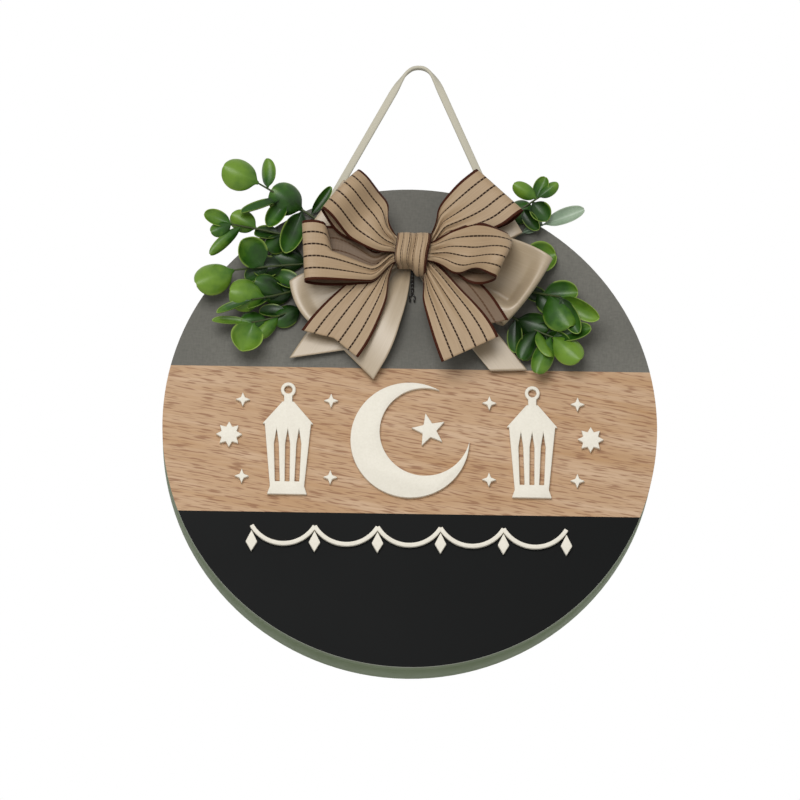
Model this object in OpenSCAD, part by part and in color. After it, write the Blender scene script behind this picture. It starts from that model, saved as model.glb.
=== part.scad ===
// Round hanging door sign: a three-band face on a deep rim, raised festive cut-outs,
// a striped bow over a satin bow, moulded greenery and a cord to hang it by.
// Millimetres. +Z is up, the face looks along -Y, and the origin is under the cord at the top of its arch.

/* [Board] */
// Diameter of the round board
board_d = 300; // [285:1:330]
// Thickness of the front board
board_t = 6; // [4:0.5:9]
// Depth of the rim ring behind the front board
ring_depth = 24; // [18:1:32]
// Radial width of the rim ring
ring_w = 12; // [9:0.5:18]
// Thickness of the face panels
panel_t = 1.2; // [0.6:0.1:2]
// Height of the oak band
band_h = 91; // [84:1:100]
// Height of the oak band's top edge above the board's centre
band_top = 36; // [28:1:44]

/* [Cut-outs] */
// Thickness of the raised cut-outs
cutout_t = 3; // [1.5:0.5:5]
// Diameter of the crescent
crescent_d = 72; // [60:1:80]
// Width of the crescent at its middle
crescent_w = 19; // [14:1:22]
// Height of a lantern with its hanging ring
lantern_h = 70; // [60:1:78]
// Width of a lantern's glass
lantern_w = 28; // [22:1:34]
// Width of the bars round a lantern's panes
lantern_bar = 3; // [2:0.5:4]
// Distance between the two lanterns
lantern_gap = 148; // [136:1:160]
// Width of one scallop of the festoon
scallop_w = 38; // [30:1:40]
// Stroke of the festoon
festoon_w = 2.6; // [2:0.2:4]

/* [Cord] */
// Diameter of the hanging cord
cord_d = 3.6; // [3:0.1:4]
// Clearance round the cord in its hole
hole_clear = 0.3; // [0.2:0.1:0.6]
// Diameter of a stopper knot
knot_d = 9.5; // [8:0.5:11]
// Height of the swing axis above the rim
swing_clear = 2.2; // [2:0.1:3]

/* [Bow] */
// Width of the striped ribbon
striped_w = 38; // [34:1:40]
// Width of the satin ribbon
satin_w = 50; // [44:1:52]
// Thickness of the ribbon
ribbon_t = 0.8; // [0.5:0.1:1]
// Distance of the bow's middle below the top of the board
bow_drop = 44; // [40:1:50]
// Width of the band that wraps the middle
knot_w = 21; // [20:0.5:24]
// Height of the gathered middle
core_h = 18; // [17:0.5:20]
// Pitch of the ribbon layers in the gathered middle
layer_pitch = 1.55; // [1.4:0.05:1.8]

/* [Greenery] */
// Thickness of a moulded leaf
leaf_t = 1; // [0.7:0.1:1.3]
// Diameter of a stem
stem_d = 2; // [1.6:0.1:2.4]
// Radius of a glue pad
pad_r = 8; // [6:0.5:8.5]

/* [Hidden] */
$fn = 96;
sage = "#6d7864";
charcoal = "#63625d";
oak = "#bea080";
satin_black = "#222323";
off_white = "#eae4d6";
ivory = "#dcd8cb";
taupe = "#ae997f";
champagne = "#c8bba6";
glue_clear = "#d8d4c4";
leaf_green = "#4f7a26";
leaf_pale = "#a9bd9a";
wire_dark = "#3a332c";

// How far a cutter runs past what it cuts
over = 1;
// Seat of one piece beside another
fit_gap = 0.25;

// Underside of the cord in its own plane: [x, z] from the left rim hole over the arch to the right one
cord_route = [
    [-55, -89.8], [-50, -80.5], [-44, -69.3], [-38, -58.1], [-32, -46.9], [-26, -35.7], [-20, -24.5],
    [-15, -15.2], [-11.5, -9], [-8, -4], [-4.2, -0.9], [0, 0], [4.2, -0.9], [7.8, -4], [11, -9],
    [14, -15.4], [19, -26.7], [25, -40.2], [31, -53.8], [37, -67.3], [42, -78.5], [47, -89.8]
];
// The swing axis runs along X through these two points of the cord's ends
swing_left_x = -56;
swing_right_x = 48;
swing_z = -90;
cord_sides = 8;

board_r = board_d / 2;
cord_spread = swing_right_x - swing_left_x;
board_x = (swing_left_x + swing_right_x) / 2;
cord_angle = asin(cord_spread / 2 / (board_r + swing_clear));
board_z = swing_z - (board_r + swing_clear) * cos(cord_angle);
ring_mid = -(panel_t + board_t + ring_depth / 2);
band_bottom = band_top - band_h;
band_mid = (band_top + band_bottom) / 2;
hole_d = cord_d + 2 * hole_clear;
// A knot rests on the inner mouth of its hole
knot_in = board_r - ring_w - sqrt(pow(knot_d / 2, 2) - pow(hole_d / 2, 2)) - hole_clear / 2;

// The crescent's horns stand this far apart, and it leans to the right
horn_open = 2;
crescent_turn = 30;
lantern_ring_r = 4.5;
// Stars stand in the crescent, outside the lanterns and between the crescent and the lanterns:
// [x, v, turn, points, radius, share of the radius in the notches]
star_r = 8;
small_star_r = 4.5;
beside_x = lantern_gap / 2 + lantern_w / 2 + 3 * small_star_r;
between_x = (crescent_d + lantern_gap - lantern_w) / 4;
star_high = crescent_d / 3;
star_places = concat(
    [[crescent_d * 0.16, crescent_d * 0.09, 12, 5, star_r * 1.35, 0.42]],
    [for (side = [-1, 1]) each [
        [side * (beside_x + star_r), 2, 0, 8, star_r, 0.62],
        [side * beside_x, star_high, 0, 4, small_star_r, 0.4],
        [side * beside_x, -star_high, 0, 4, small_star_r, 0.4],
        [side * between_x, star_high, 0, 4, small_star_r, 0.4],
        [side * between_x, -star_high, 0, 4, small_star_r, 0.4]]]
);

// Festoon of arcs between hanging points
scallop_count = 5;
scallop_sag = 11;
festoon_drop = 9;
scallop_r = (pow(scallop_w / 2, 2) + pow(scallop_sag, 2)) / (2 * scallop_sag);
scallop_half = asin(scallop_w / 2 / scallop_r);
festoon_v = band_bottom - festoon_drop;
drop_h = 13;
drop_w = 7;

bow_v = board_r - bow_drop;
core_w = knot_w - 3;
knot_t = ribbon_t;
pad_h = 3;
pad_crown = 1;
core_back = pad_h + 2 * fit_gap + knot_t;
layer_count = 11;
core_front = core_back + (layer_count + 0.6) * layer_pitch;
core_chamfer = 5;
// Room between a ribbon's root and the band over it
root_margin = 1.4;
tie_w = 3;
tie_t = 1.2;
tie_end_d = 1.6;
tie_end_l = 28;
tie_x = 0.7;
tie_end_h = tie_end_d / 2 + fit_gap;
// Height of the satin tails' roots, under the knot
under_h = ribbon_t / 2 + fit_gap;
under_v = -6;
pleat_n = 5;

// Share of a ribbon's width that is left where it is gathered
striped_gather = 0.3;
satin_gather = 0.26;
// The right satin tail is folded to this share of its width
tail_fold = 0.36;

// Where each ribbon leaves the core, as a layer counted from the board
layer_satin_lower = 1;
layer_satin_upper = 3;
layer_under_tail = 5;
layer_striped_tail = 6;
layer_striped_back = 7;
layer_striped_front = 9;

// Glue pads: one under the bow, and one each side of it where the stems start
bow_pad = [-6, 7];
pad_x = 26;
pad_lift = -3;
stem_rise = 2.5;
// Share of a leaf's length at which it is widest
leaf_mid = 0.56;

// Small helpers
function mix(a, b, k) = a + (b - a) * k;
function clamp01(k) = max(0, min(1, k));
function ease(k) = let (c = clamp01(k)) c * c * (3 - 2 * c);
function unit(v) = v / norm(v);
function layer_h(k) = core_back + (k + 0.8) * layer_pitch;

// Face coordinates: x to the right, v up from the board's centre, h out from the face
module on_face() {
    translate([board_x, ring_mid, board_z]) rotate([90, 0, 0]) children();
}

module on_bow() {
    on_face() translate([0, bow_v, 0]) children();
}

// Closed solid of a given thickness round a grid of points, rows along and columns across
module sheet_solid(grid, thick) {
    rows = len(grid);
    cols = len(grid[0]);
    function at(i, j) = grid[max(0, min(rows - 1, i))][max(0, min(cols - 1, j))];
    function normal(i, j) = unit(cross(at(i + 1, j) - at(i - 1, j), at(i, j + 1) - at(i, j - 1)));
    upper = [for (i = [0 : rows - 1]) for (j = [0 : cols - 1]) grid[i][j] + normal(i, j) * thick / 2];
    lower = [for (i = [0 : rows - 1]) for (j = [0 : cols - 1]) grid[i][j] - normal(i, j) * thick / 2];
    half = rows * cols;
    function id(i, j) = i * cols + j;
    border = concat(
        [for (j = [0 : cols - 2]) id(0, j)],
        [for (i = [0 : rows - 2]) id(i, cols - 1)],
        [for (j = [cols - 1 : -1 : 1]) id(rows - 1, j)],
        [for (i = [rows - 1 : -1 : 1]) id(i, 0)]
    );
    n = len(border);
    faces = concat(
        [for (i = [0 : rows - 2]) for (j = [0 : cols - 2]) each [
            [id(i, j), id(i, j + 1), id(i + 1, j + 1)], [id(i, j), id(i + 1, j + 1), id(i + 1, j)]]],
        [for (i = [0 : rows - 2]) for (j = [0 : cols - 2]) each [
            [half + id(i, j), half + id(i + 1, j + 1), half + id(i, j + 1)],
            [half + id(i, j), half + id(i + 1, j), half + id(i + 1, j + 1)]]],
        [for (k = [0 : n - 1]) each [
            [border[k], half + border[k], half + border[(k + 1) % n]],
            [border[k], half + border[(k + 1) % n], border[(k + 1) % n]]]]
    );
    polyhedron(points = concat(upper, lower), faces = faces, convexity = 8);
}

// Round tube swept along points
module tube(path, r, sides, side_dir) {
    n = len(path);
    function along(i) = unit(path[min(n - 1, i + 1)] - path[max(0, i - 1)]);
    function out_dir(i) = unit(side_dir - along(i) * (side_dir * along(i)));
    points = [for (i = [0 : n - 1]) for (k = [0 : sides - 1])
        let (a = 360 * (k + 0.5) / sides, o = out_dir(i), p = cross(along(i), o))
        path[i] + r / cos(180 / sides) * (cos(a) * o + sin(a) * p)];
    faces = concat(
        [for (i = [0 : n - 2]) for (k = [0 : sides - 1])
            let (a = i * sides + k, b = i * sides + (k + 1) % sides)
            each [[a, a + sides, b + sides], [a, b + sides, b]]],
        [for (k = [1 : sides - 2]) [0, k, k + 1]],
        [for (k = [1 : sides - 2]) let (e = (n - 1) * sides) [e, e + k + 1, e + k]]
    );
    polyhedron(points = points, faces = faces, convexity = 6);
}

// Width direction of a ribbon: as it starts at the core, then square to its own direction further out
function width_dir(start, angle, q) = unit(mix(start, [-sin(angle), cos(angle), 0], ease(q / 0.5)));
// At the core's sides a ribbon starts upright
function upright(angle) = [0, cos(angle) < 0 ? -1 : 1, 0];

// Height of a ribbon's root in the gathered middle, near its top or its bottom
function root_height(up, gathered) = up * (core_h / 2 - gathered / 2 - root_margin);

// Point of a ribbon loop: turn 0 to 180 runs out on the front, 180 to 360 comes back behind.
// The front stays gathered to open_front of the reach, lean moves the gathered part to one edge,
// skew slants the fold, tilt turns the loop's mouth towards the viewer, bend bows the loop sideways and full is
// the share of the width that shows at the fold.
function loop_point(turn, t, width, gather, root, angle, reach, swell, open_front, open_back,
                    lean, skew, tilt, bend, full, pleat) =
    let (
        q = (1 - cos(turn)) / 2,
        open = turn < 180 ? open_front : open_back,
        g = mix(gather, full, ease(q / open)),
        w = width_dir(upright(angle), angle, q),
        half = width / 2,
        across = t * g * half + lean * (full - g) * half * ease(q / 0.3) + 4 * bend * q * (1 - q),
        out = q * (reach + t * half * tan(skew)),
        body = swell / 2 * sin(turn) * pow(sin(turn / 2), 3) + swell / 2 * q * q,
        folds = turn < 180 ? pleat * sin(180 * q) * (1 - g) * (1 + cos(180 * pleat_n * t)) / 2 : 0
    )
    root
    + [cos(angle), sin(angle), 0] * out
    + w * across
    + [0, 0, body + layer_pitch / 2 * cos(turn / 2) + sin(tilt) * q * t * half + folds];

module ribbon_loop(width, gather, side, up, layer, angle, reach, swell,
                   open_front = 0.9, open_back = 0.9, lean = 0, skew = 0, tilt = 0, bend = 0, full = 1,
                   pleat = 2) {
    root = [side * (core_w / 2 + fit_gap), root_height(up, width * gather), layer_h(layer + 0.5)];
    rows = 22;
    cols = 6;
    sheet_solid([for (i = [0 : rows]) [for (j = [0 : cols])
        loop_point(360 * i / rows, 2 * j / cols - 1, width, gather, root, angle, reach, swell,
                   open_front, open_back, lean, skew, tilt, bend, full, pleat)]], ribbon_t);
}

// Point of a hanging ribbon tail that fans out from the knot, with a V cut of the given depth in its end
function tail_point(s, t, width, gather, root, start, angle, reach, lift, open, fan, notch, skew, pleat) =
    let (
        k = clamp01(s / open),
        g = mix(gather, 1, pow(1.5 * k - 0.5 * pow(k, 3), fan)),
        half = width / 2,
        out = s * (reach - notch * (1 - abs(t)) + t * half * tan(skew)),
        folds = pleat * sin(180 * s) * (1 - g) * (1 + cos(180 * pleat_n * t)) / 2
    )
    root
    + [cos(angle), sin(angle), 0] * out
    + width_dir(start, angle, s) * (t * g * half)
    + [0, 0, lift * ease(s) + folds];

module ribbon_tail(width, gather, root, start, angle, reach, lift,
                   open = 0.6, fan = 1, notch = 6, skew = 0, pleat = 0.4) {
    rows = 10;
    cols = 6;
    sheet_solid([for (i = [0 : rows]) [for (j = [0 : cols])
        tail_point(i / rows, 2 * j / cols - 1, width, gather, root, start, angle, reach, lift,
                   open, fan, notch, skew, pleat)]], ribbon_t);
}

// Where a striped tail leaves the side of the core, and where a satin tail starts under the knot
function side_root(side, layer) =
    [side * (core_w / 2 + fit_gap), root_height(0.3, striped_w * striped_gather), layer_h(layer)];
function under_root(side) =
    [tie_x + side * (satin_w * satin_gather / 2 + tie_end_d / 2 + fit_gap), under_v, under_h];

// Moulded leaf: length along its direction, cupped like a spoon, with a short neck at its base
module leaf(base, angle, length, width, tilt, roll, cup = 0.26) {
    along = [cos(angle) * cos(tilt), sin(angle) * cos(tilt), sin(tilt)];
    flat = [-sin(angle), cos(angle), 0];
    up = cross(along, flat);
    across = cos(roll) * flat + sin(roll) * up;
    face = cross(along, across);
    // Stations along the leaf and the share of the width at each
    stations = [[0, 0.09], [0.1, 0.14], [0.24, 0.72], [leaf_mid, 1], [0.84, 0.76], [1, 0.2]];
    sheet_solid([for (s = stations) [for (t = [-1, 0, 1])
        base + along * length * s[0] + across * t * s[1] * width / 2
        + face * width * cup * (t * t * s[1] + 1.4 * (pow(s[0] - leaf_mid, 2) - pow(leaf_mid, 2)))]], leaf_t);
}

// Sprig: a bowed stem from the glue pad to its tip, with leaves at shares of its length.
// Places are measured from the bow's middle. A leaf is [share, angle, length, width, tilt, roll].
module sprig(side, fan, tip, bow, leaves) {
    foot = [side * pad_x + (pad_r + fit_gap) * cos(fan), pad_lift + (pad_r + fit_gap) * sin(fan),
            stem_d / 2 + fit_gap];
    steps = 7;
    climb = tip[2] - foot[2];
    function stem_at(f) = mix(foot, tip, f) + [0, bow * 4 * f * (1 - f), climb * (pow(f, stem_rise) - f)];
    on_bow() {
        tube([for (i = [0 : steps]) stem_at(i / steps)], stem_d / 2, 6, [0, 0, 1]);
        for (l = leaves) leaf(stem_at(l[0]), l[1], l[2], l[3], l[4], l[5]);
    }
}

// Board
module front_board() {
    color(sage) on_face() translate([0, 0, -panel_t - board_t]) cylinder(d = board_d, h = board_t);
}

module cord_hole(side) {
    translate([0, 0, ring_mid]) rotate([0, 0, -side * cord_angle]) rotate([-90, 0, 0])
        translate([0, 0, board_r - ring_w - over]) cylinder(d = hole_d, h = ring_w + 2 * over);
}

module rim_ring() {
    color(sage) on_face() difference() {
        translate([0, 0, -panel_t - board_t - ring_depth]) difference() {
            cylinder(d = board_d, h = ring_depth);
            translate([0, 0, -over]) cylinder(d = board_d - 2 * ring_w, h = ring_depth + 2 * over);
        }
        cord_hole(-1);
        cord_hole(1);
    }
}

// Slice of the round face between two heights
module face_band(low, high) {
    on_face() intersection() {
        translate([0, 0, -panel_t]) cylinder(d = board_d, h = panel_t);
        translate([-board_d, low, -2 * panel_t]) cube([2 * board_d, high - low, 4 * panel_t]);
    }
}

module grey_face_panel() {
    color(charcoal) face_band(band_top, board_d);
}

module oak_face_panel() {
    color(oak) face_band(band_bottom, band_top);
}

module black_face_panel() {
    color(satin_black) face_band(-board_d, band_bottom);
}

// Raised cut-outs
module crescent_cutout() {
    inner_r = (crescent_d - crescent_w + horn_open) / 2;
    color(off_white) on_face() translate([0, band_mid, 0]) difference() {
        cylinder(d = crescent_d, h = cutout_t);
        rotate([0, 0, crescent_turn]) translate([(crescent_w + horn_open) / 2, 0, -over])
            cylinder(r = inner_r, h = cutout_t + 2 * over);
    }
}

module star(points, r, waist) {
    linear_extrude(cutout_t) polygon([for (i = [0 : 2 * points - 1])
        let (a = 90 + 180 * i / points) (i % 2 == 0 ? r : r * waist) * [cos(a), sin(a)]]);
}

module star_cutouts() {
    color(off_white) on_face() translate([0, band_mid, 0])
        for (s = star_places) translate([s[0], s[1], 0]) rotate([0, 0, s[2]]) star(s[3], s[4], s[5]);
}

// Flat lantern from its foot upwards: foot, three open panes, cap, neck and hanging ring
module lantern() {
    foot_h = 5;
    foot_w = lantern_w * 0.86;
    sill_w = lantern_w * 0.74;
    cap_h = 14;
    cap_top_w = 7;
    eave_w = lantern_w * 1.1;
    neck_h = 4;
    neck_w = 5;
    ring_stroke = 2;
    lap = 1;
    glass_h = lantern_h - foot_h - cap_h - neck_h - 2 * lantern_ring_r + lap;
    glass_top = foot_h + glass_h;
    pane_low = foot_h + lantern_bar;
    pane_h = glass_h - 2 * lantern_bar;
    pane_w = (sill_w - 4 * lantern_bar) / 3;
    // Panes spread with the glass, and their heads are pointed
    spread = 1.15;
    shoulder = 0.72;
    module slab(low, high, w0, w1) {
        linear_extrude(cutout_t) polygon([[-w0 / 2, low], [w0 / 2, low], [w1 / 2, high], [-w1 / 2, high]]);
    }
    module pane(x, wide) {
        translate([0, 0, -over]) linear_extrude(cutout_t + 2 * over)
            polygon([[x - wide / 2, pane_low], [x + wide / 2, pane_low],
                     [x * spread + wide / 2, pane_low + pane_h * shoulder], [x * spread, pane_low + pane_h],
                     [x * spread - wide / 2, pane_low + pane_h * shoulder]]);
    }
    slab(0, foot_h, foot_w, sill_w);
    difference() {
        slab(foot_h, glass_top, sill_w, lantern_w);
        for (k = [-1, 0, 1]) pane(k * (pane_w + lantern_bar), pane_w);
    }
    slab(glass_top, glass_top + cap_h, eave_w, cap_top_w);
    slab(glass_top + cap_h, glass_top + cap_h + neck_h, neck_w, neck_w);
    translate([0, lantern_h - lantern_ring_r, 0]) difference() {
        cylinder(r = lantern_ring_r, h = cutout_t);
        translate([0, 0, -over]) cylinder(r = lantern_ring_r - ring_stroke, h = cutout_t + 2 * over);
    }
}

module lantern_at(side) {
    color(off_white) on_face() translate([side * lantern_gap / 2, band_mid - lantern_h / 2, 0]) lantern();
}

module lantern_cutout_left() {
    lantern_at(-1);
}

module lantern_cutout_right() {
    lantern_at(1);
}

// Festoon of scallops under the oak band, and a drop below each hanging point
module festoon_cutout() {
    color(off_white) on_face() for (i = [0 : scallop_count - 1])
        translate([(i - (scallop_count - 1) / 2) * scallop_w, festoon_v + scallop_r - scallop_sag, 0])
            rotate([0, 0, -90 - scallop_half]) rotate_extrude(angle = 2 * scallop_half)
                translate([scallop_r - festoon_w / 2, 0]) square([festoon_w, cutout_t]);
}

module drop_cutouts() {
    widest = drop_h * 0.55;
    color(off_white) on_face() for (i = [0 : scallop_count])
        translate([(i - scallop_count / 2) * scallop_w, festoon_v - festoon_w - 2 * fit_gap, 0])
            linear_extrude(cutout_t)
                polygon([[0, 0], [drop_w / 2, -widest], [0, -drop_h], [-drop_w / 2, -widest]]);
}

// Cord and its knots
module hanging_cord() {
    color(ivory)
        tube([for (p = cord_route) [p[0], 0, p[1] + cord_d / 2]], cord_d / 2, cord_sides, [0, 1, 0]);
}

module cord_knot(side) {
    color(ivory) on_face() translate([0, 0, ring_mid]) rotate([0, 0, -side * cord_angle]) rotate([-90, 0, 0]) {
        translate([0, 0, knot_in]) cylinder(d = cord_d, h = board_r + swing_clear - knot_in);
        translate([0, 0, knot_in]) sphere(d = knot_d);
        translate([0, 0, board_r + swing_clear]) sphere(d = cord_d);
    }
}

module cord_knot_left() {
    cord_knot(-1);
}

module cord_knot_right() {
    cord_knot(1);
}

// Striped bow
module striped_loop_upper_left() {
    color(taupe) on_bow()
        ribbon_loop(striped_w, striped_gather, side = -1, up = 1, layer = layer_striped_front,
                    angle = 139, reach = 47, swell = 24, open_front = 0.55, open_back = 0.8, lean = 0.25,
                    full = 0.88);
}

module striped_loop_lower_left() {
    color(taupe) on_bow()
        ribbon_loop(striped_w, striped_gather, side = -1, up = -1, layer = layer_striped_back,
                    angle = 183, reach = 57, swell = 20, open_back = 0.7, lean = 0.9);
}

module striped_loop_upper_right() {
    color(taupe) on_bow()
        ribbon_loop(striped_w, striped_gather, side = 1, up = 1, layer = layer_striped_back,
                    angle = 38.7, reach = 56, swell = 15, open_front = 0.8, lean = 0.8, skew = -9,
                    pleat = 1);
}

module striped_loop_lower_right() {
    color(taupe) on_bow()
        ribbon_loop(striped_w, striped_gather, side = 1, up = -1, layer = layer_striped_front,
                    angle = -8, reach = 48, swell = 28, open_front = 0.55, lean = 0, skew = 14,
                    tilt = -10, full = 0.86);
}

module striped_tail_left() {
    color(taupe) on_bow()
        ribbon_tail(striped_w, striped_gather, side_root(-1, layer_striped_tail), upright(236),
                    angle = 236, reach = 72, lift = -0.6, open = 0.95, fan = 1.4, notch = 4.5,
                    skew = -8);
}

module striped_tail_right() {
    color(taupe) on_bow()
        ribbon_tail(striped_w, striped_gather, side_root(1, layer_striped_tail), upright(-68),
                    angle = -68, reach = 69.5, lift = 9, open = 1, fan = 1.5, notch = 0, skew = -4);
}

module striped_tail_under() {
    color(taupe) on_bow()
        ribbon_tail(striped_w, striped_gather, side_root(1, layer_under_tail), upright(-59),
                    angle = -59, reach = 64, lift = 8, open = 0.8);
}

// Satin bow behind it
module satin_loop_upper_left() {
    color(champagne) on_bow()
        ribbon_loop(satin_w, satin_gather, side = -1, up = 1, layer = layer_satin_upper, angle = 146,
                    reach = 52, swell = 5, full = 0.72);
}

module satin_loop_lower_left() {
    color(champagne) on_bow()
        ribbon_loop(satin_w, satin_gather, side = -1, up = -1, layer = layer_satin_lower, angle = 211,
                    reach = 66, swell = 8, open_front = 0.95, full = 0.72);
}

module satin_loop_upper_right() {
    color(champagne) on_bow()
        ribbon_loop(satin_w, satin_gather, side = 1, up = 1, layer = layer_satin_upper, angle = 31,
                    reach = 56, swell = 4, lean = 0.6, full = 0.76);
}

module satin_loop_lower_right() {
    color(champagne) on_bow()
        ribbon_loop(satin_w, satin_gather, side = 1, up = -1, layer = layer_satin_lower, angle = -22,
                    reach = 66, swell = 14, open_front = 0.7, lean = -0.4, skew = 15, tilt = 8, bend = 4, full = 0.92,
                    pleat = 0.4);
}

module satin_tail_left() {
    color(champagne) on_bow()
        ribbon_tail(satin_w, satin_gather, under_root(-1), [1, 0, 0], angle = 238, reach = 78,
                    lift = 4.4, open = 0.85, notch = 14, skew = -18);
}

module satin_tail_right() {
    color(champagne) on_bow()
        ribbon_tail(satin_w * tail_fold, satin_gather / tail_fold, under_root(1), [1, 0, 0],
                    angle = -52, reach = 83, lift = 4.4, notch = 0, skew = 36);
}

// Middle of the bow: an eight-sided bundle
module core_block(shrink) {
    v = core_h / 2 - shrink;
    back = core_back + shrink;
    front = core_front - shrink;
    c = core_chamfer;
    translate([-core_w / 2, 0, 0]) rotate([90, 0, 90]) linear_extrude(core_w)
        polygon([[-v + c, back], [v - c, back], [v, back + c], [v, front - c],
                 [v - c, front], [-v + c, front], [-v, front - c], [-v, back + c]]);
}

module tie_slot() {
    translate([-tie_w / 2, -core_h, 0]) cube([tie_w, 2 * core_h, 2 * core_front]);
}

module ribbon_core() {
    color(taupe) on_bow() difference() {
        core_block(0);
        difference() {
            tie_slot();
            core_block(tie_t);
        }
    }
}

// Tie in the core's waist, with its twisted ends led out behind and down between the satin tails
module twist_tie() {
    color(wire_dark) on_bow() {
        intersection() {
            difference() {
                core_block(0);
                core_block(tie_t);
            }
            tie_slot();
        }
        translate([tie_x, 0, tie_end_h]) {
            cylinder(d = tie_end_d, h = core_back + tie_t / 2 - tie_end_h);
            sphere(d = tie_end_d);
            rotate([90, 0, 0]) cylinder(d = tie_end_d, h = tie_end_l);
        }
    }
}

// Band round the core, open behind, where its ends are glued down
module bow_knot() {
    crown = 0.6;
    half_v = core_h / 2 + fit_gap + knot_t;
    back_h = core_back - fit_gap - knot_t / 2;
    front_h = core_front + fit_gap + knot_t / 2 + crown;
    squareness = 5;
    wrap = 160;
    ripples = 4;
    ripple_h = 1;
    rows = 28;
    cols = 8;
    mid_h = (back_h + front_h) / 2;
    half_h = (front_h - back_h) / 2;
    // Rounded box outline by angle, from behind below to behind above
    function outline(a) =
        let (
            c = cos(a),
            s = sin(a),
            k = pow(pow(abs(c), squareness) + pow(abs(s), squareness), -1 / squareness)
        )
        [half_v * s * k, mid_h + half_h * c * k];
    color(taupe) on_bow() sheet_solid([for (i = [0 : rows]) [for (j = [0 : cols])
        let (a = mix(-wrap, wrap, i / rows), t = 2 * j / cols - 1, p = outline(a),
             ripple = ripple_h * (1 + cos(180 * ripples * t)) / 2 * clamp01(cos(a)))
        [t * knot_w / 2, p[0], p[1] + ripple]]], knot_t);
}

module glue_pad(x, v) {
    crown_r = (pow(pad_r, 2) + pow(pad_crown, 2)) / (2 * pad_crown);
    translate([x, v, 0]) intersection() {
        cylinder(r = pad_r, h = pad_h);
        translate([0, 0, pad_h - crown_r]) sphere(r = crown_r);
    }
}

module glue_pads() {
    color(glue_clear) on_bow() {
        glue_pad(bow_pad[0], bow_pad[1]);
        for (side = [-1, 1]) glue_pad(side * pad_x, pad_lift);
    }
}

// Greenery
module left_sprig_top() {
    color(leaf_green) sprig(-1, 128, [-94, 42, 14], 3, [
        [1, 156, 24, 20, 8, 180], [0.91, 92, 19, 10, 5, 150], [0.57, 148, 23, 21, 12, 180],
        [0.49, 56, 22, 6.5, 4, 15], [0.76, 206, 30, 9, 17, 40], [0.73, 238, 21, 11, 6, 0],
        [0.57, 250, 31, 14, 9, 0]
    ]);
}

module left_sprig_upper() {
    color(leaf_green) sprig(-1, 155, [-110, 16, 13], 3, [
        [1, 160, 18, 10, 8, 0], [1, 204, 14, 10, 6, 180], [0.92, 225, 27, 8, 4, 150],
        [0.8, 152, 18, 14, 4, 165], [0.54, 216, 18, 13, 20, 180], [0.6, 182, 17, 12, 8, 30]
    ]);
}

module left_sprig_middle() {
    color(leaf_green) sprig(-1, 180, [-108, -13, 13], 2, [
        [1, 205, 26, 20, 10, 180], [0.76, 134, 22, 19, 30, 0], [0.41, 164, 22, 17, 2, 180],
        [0.59, 190, 19, 15, -2, 10], [0.72, 211, 16, 12, -4, 20]
    ]);
}

module left_sprig_lower() {
    color(leaf_green) sprig(-1, 205, [-97, -33, 18], -1, [
        [0.88, 174, 22, 21, 12, 180], [1, 203, 23, 8, 3, 40], [0.51, 159, 20, 15, 2, 30],
        [0.69, 162, 20, 16, 16, 180], [0.6, 195, 18, 14, 3, 160], [0.83, 214, 16, 10, 14, 40]
    ]);
}

module left_sprig_bottom() {
    color(leaf_green) sprig(-1, 232, [-97, -46, 13], -4, [
        [0.98, 249, 21, 20, 12, 0], [0.75, 231, 19, 9, 8, 160], [1, 177, 24, 7, -2, 30],
        [0.55, 211, 19, 14, 4, 180], [0.86, 186, 16, 12, 8, 180], [0.66, 180, 18, 11, 3, 30]
    ]);
}

module right_sprig_top() {
    color(leaf_green) sprig(1, 52, [77, 37, 10], 2, [
        [0.98, 150, 17, 10, 8, 170], [0.95, 66, 16, 9, 6, 0], [1, 38, 15, 8, 5, 180],
        [0.57, 32, 18, 15, 6, 180], [0.92, -55, 16, 13, 10, 0], [0.78, -54, 18, 9, 12, 30]
    ]);
}

module right_sprig_pale() {
    color(leaf_pale) sprig(1, 28, [80, 21, 6], 1, [
        [1, 21, 27, 10, 5, 0], [0.73, 30, 14, 6, 4, 30]
    ]);
}

module right_sprig_middle() {
    color(leaf_green) sprig(1, 2, [68, -3, 3.8], 1, [
        [0.97, 16, 22, 20, 0, 0]
    ]);
}

module right_sprig_lower() {
    color(leaf_green) sprig(1, -25, [90, -28, 18], -1, [
        [0.88, -59, 26, 22, 12, 180], [0.81, 2, 22, 15, 6, 0], [1, -32, 28, 12, 8, 40],
        [0.59, -22, 17, 10, 2, 0], [0.75, -41, 18, 14, 4, 170], [1, -64, 26, 11, 2, 20]
    ]);
}

module right_sprig_bottom() {
    color(leaf_green) sprig(1, -52, [86, -52, 12], -4, [
        [1, 12, 24, 11, 12, 0], [1, -43, 23, 17, 10, 180], [0.83, -67, 22, 10, 14, 140],
        [0.6, -19, 21, 17, 10, 180], [0.59, -90, 22, 10, 4, 20], [0.98, -110, 26, 13, 6, 180],
        [0.78, -16, 19, 14, 4, 10], [0.82, -116, 21, 13, 2, 170], [0.91, -28, 18, 12, 6, 20]
    ]);
}

front_board();
rim_ring();
grey_face_panel();
oak_face_panel();
black_face_panel();
crescent_cutout();
star_cutouts();
lantern_cutout_left();
lantern_cutout_right();
festoon_cutout();
drop_cutouts();
hanging_cord();
cord_knot_left();
cord_knot_right();
striped_loop_upper_left();
striped_loop_lower_left();
striped_loop_upper_right();
striped_loop_lower_right();
striped_tail_left();
striped_tail_right();
striped_tail_under();
satin_loop_upper_left();
satin_loop_lower_left();
satin_loop_upper_right();
satin_loop_lower_right();
satin_tail_left();
satin_tail_right();
ribbon_core();
twist_tie();
bow_knot();
glue_pads();
left_sprig_top();
left_sprig_upper();
left_sprig_middle();
left_sprig_lower();
left_sprig_bottom();
right_sprig_top();
right_sprig_pale();
right_sprig_middle();
right_sprig_lower();
right_sprig_bottom();
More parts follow.
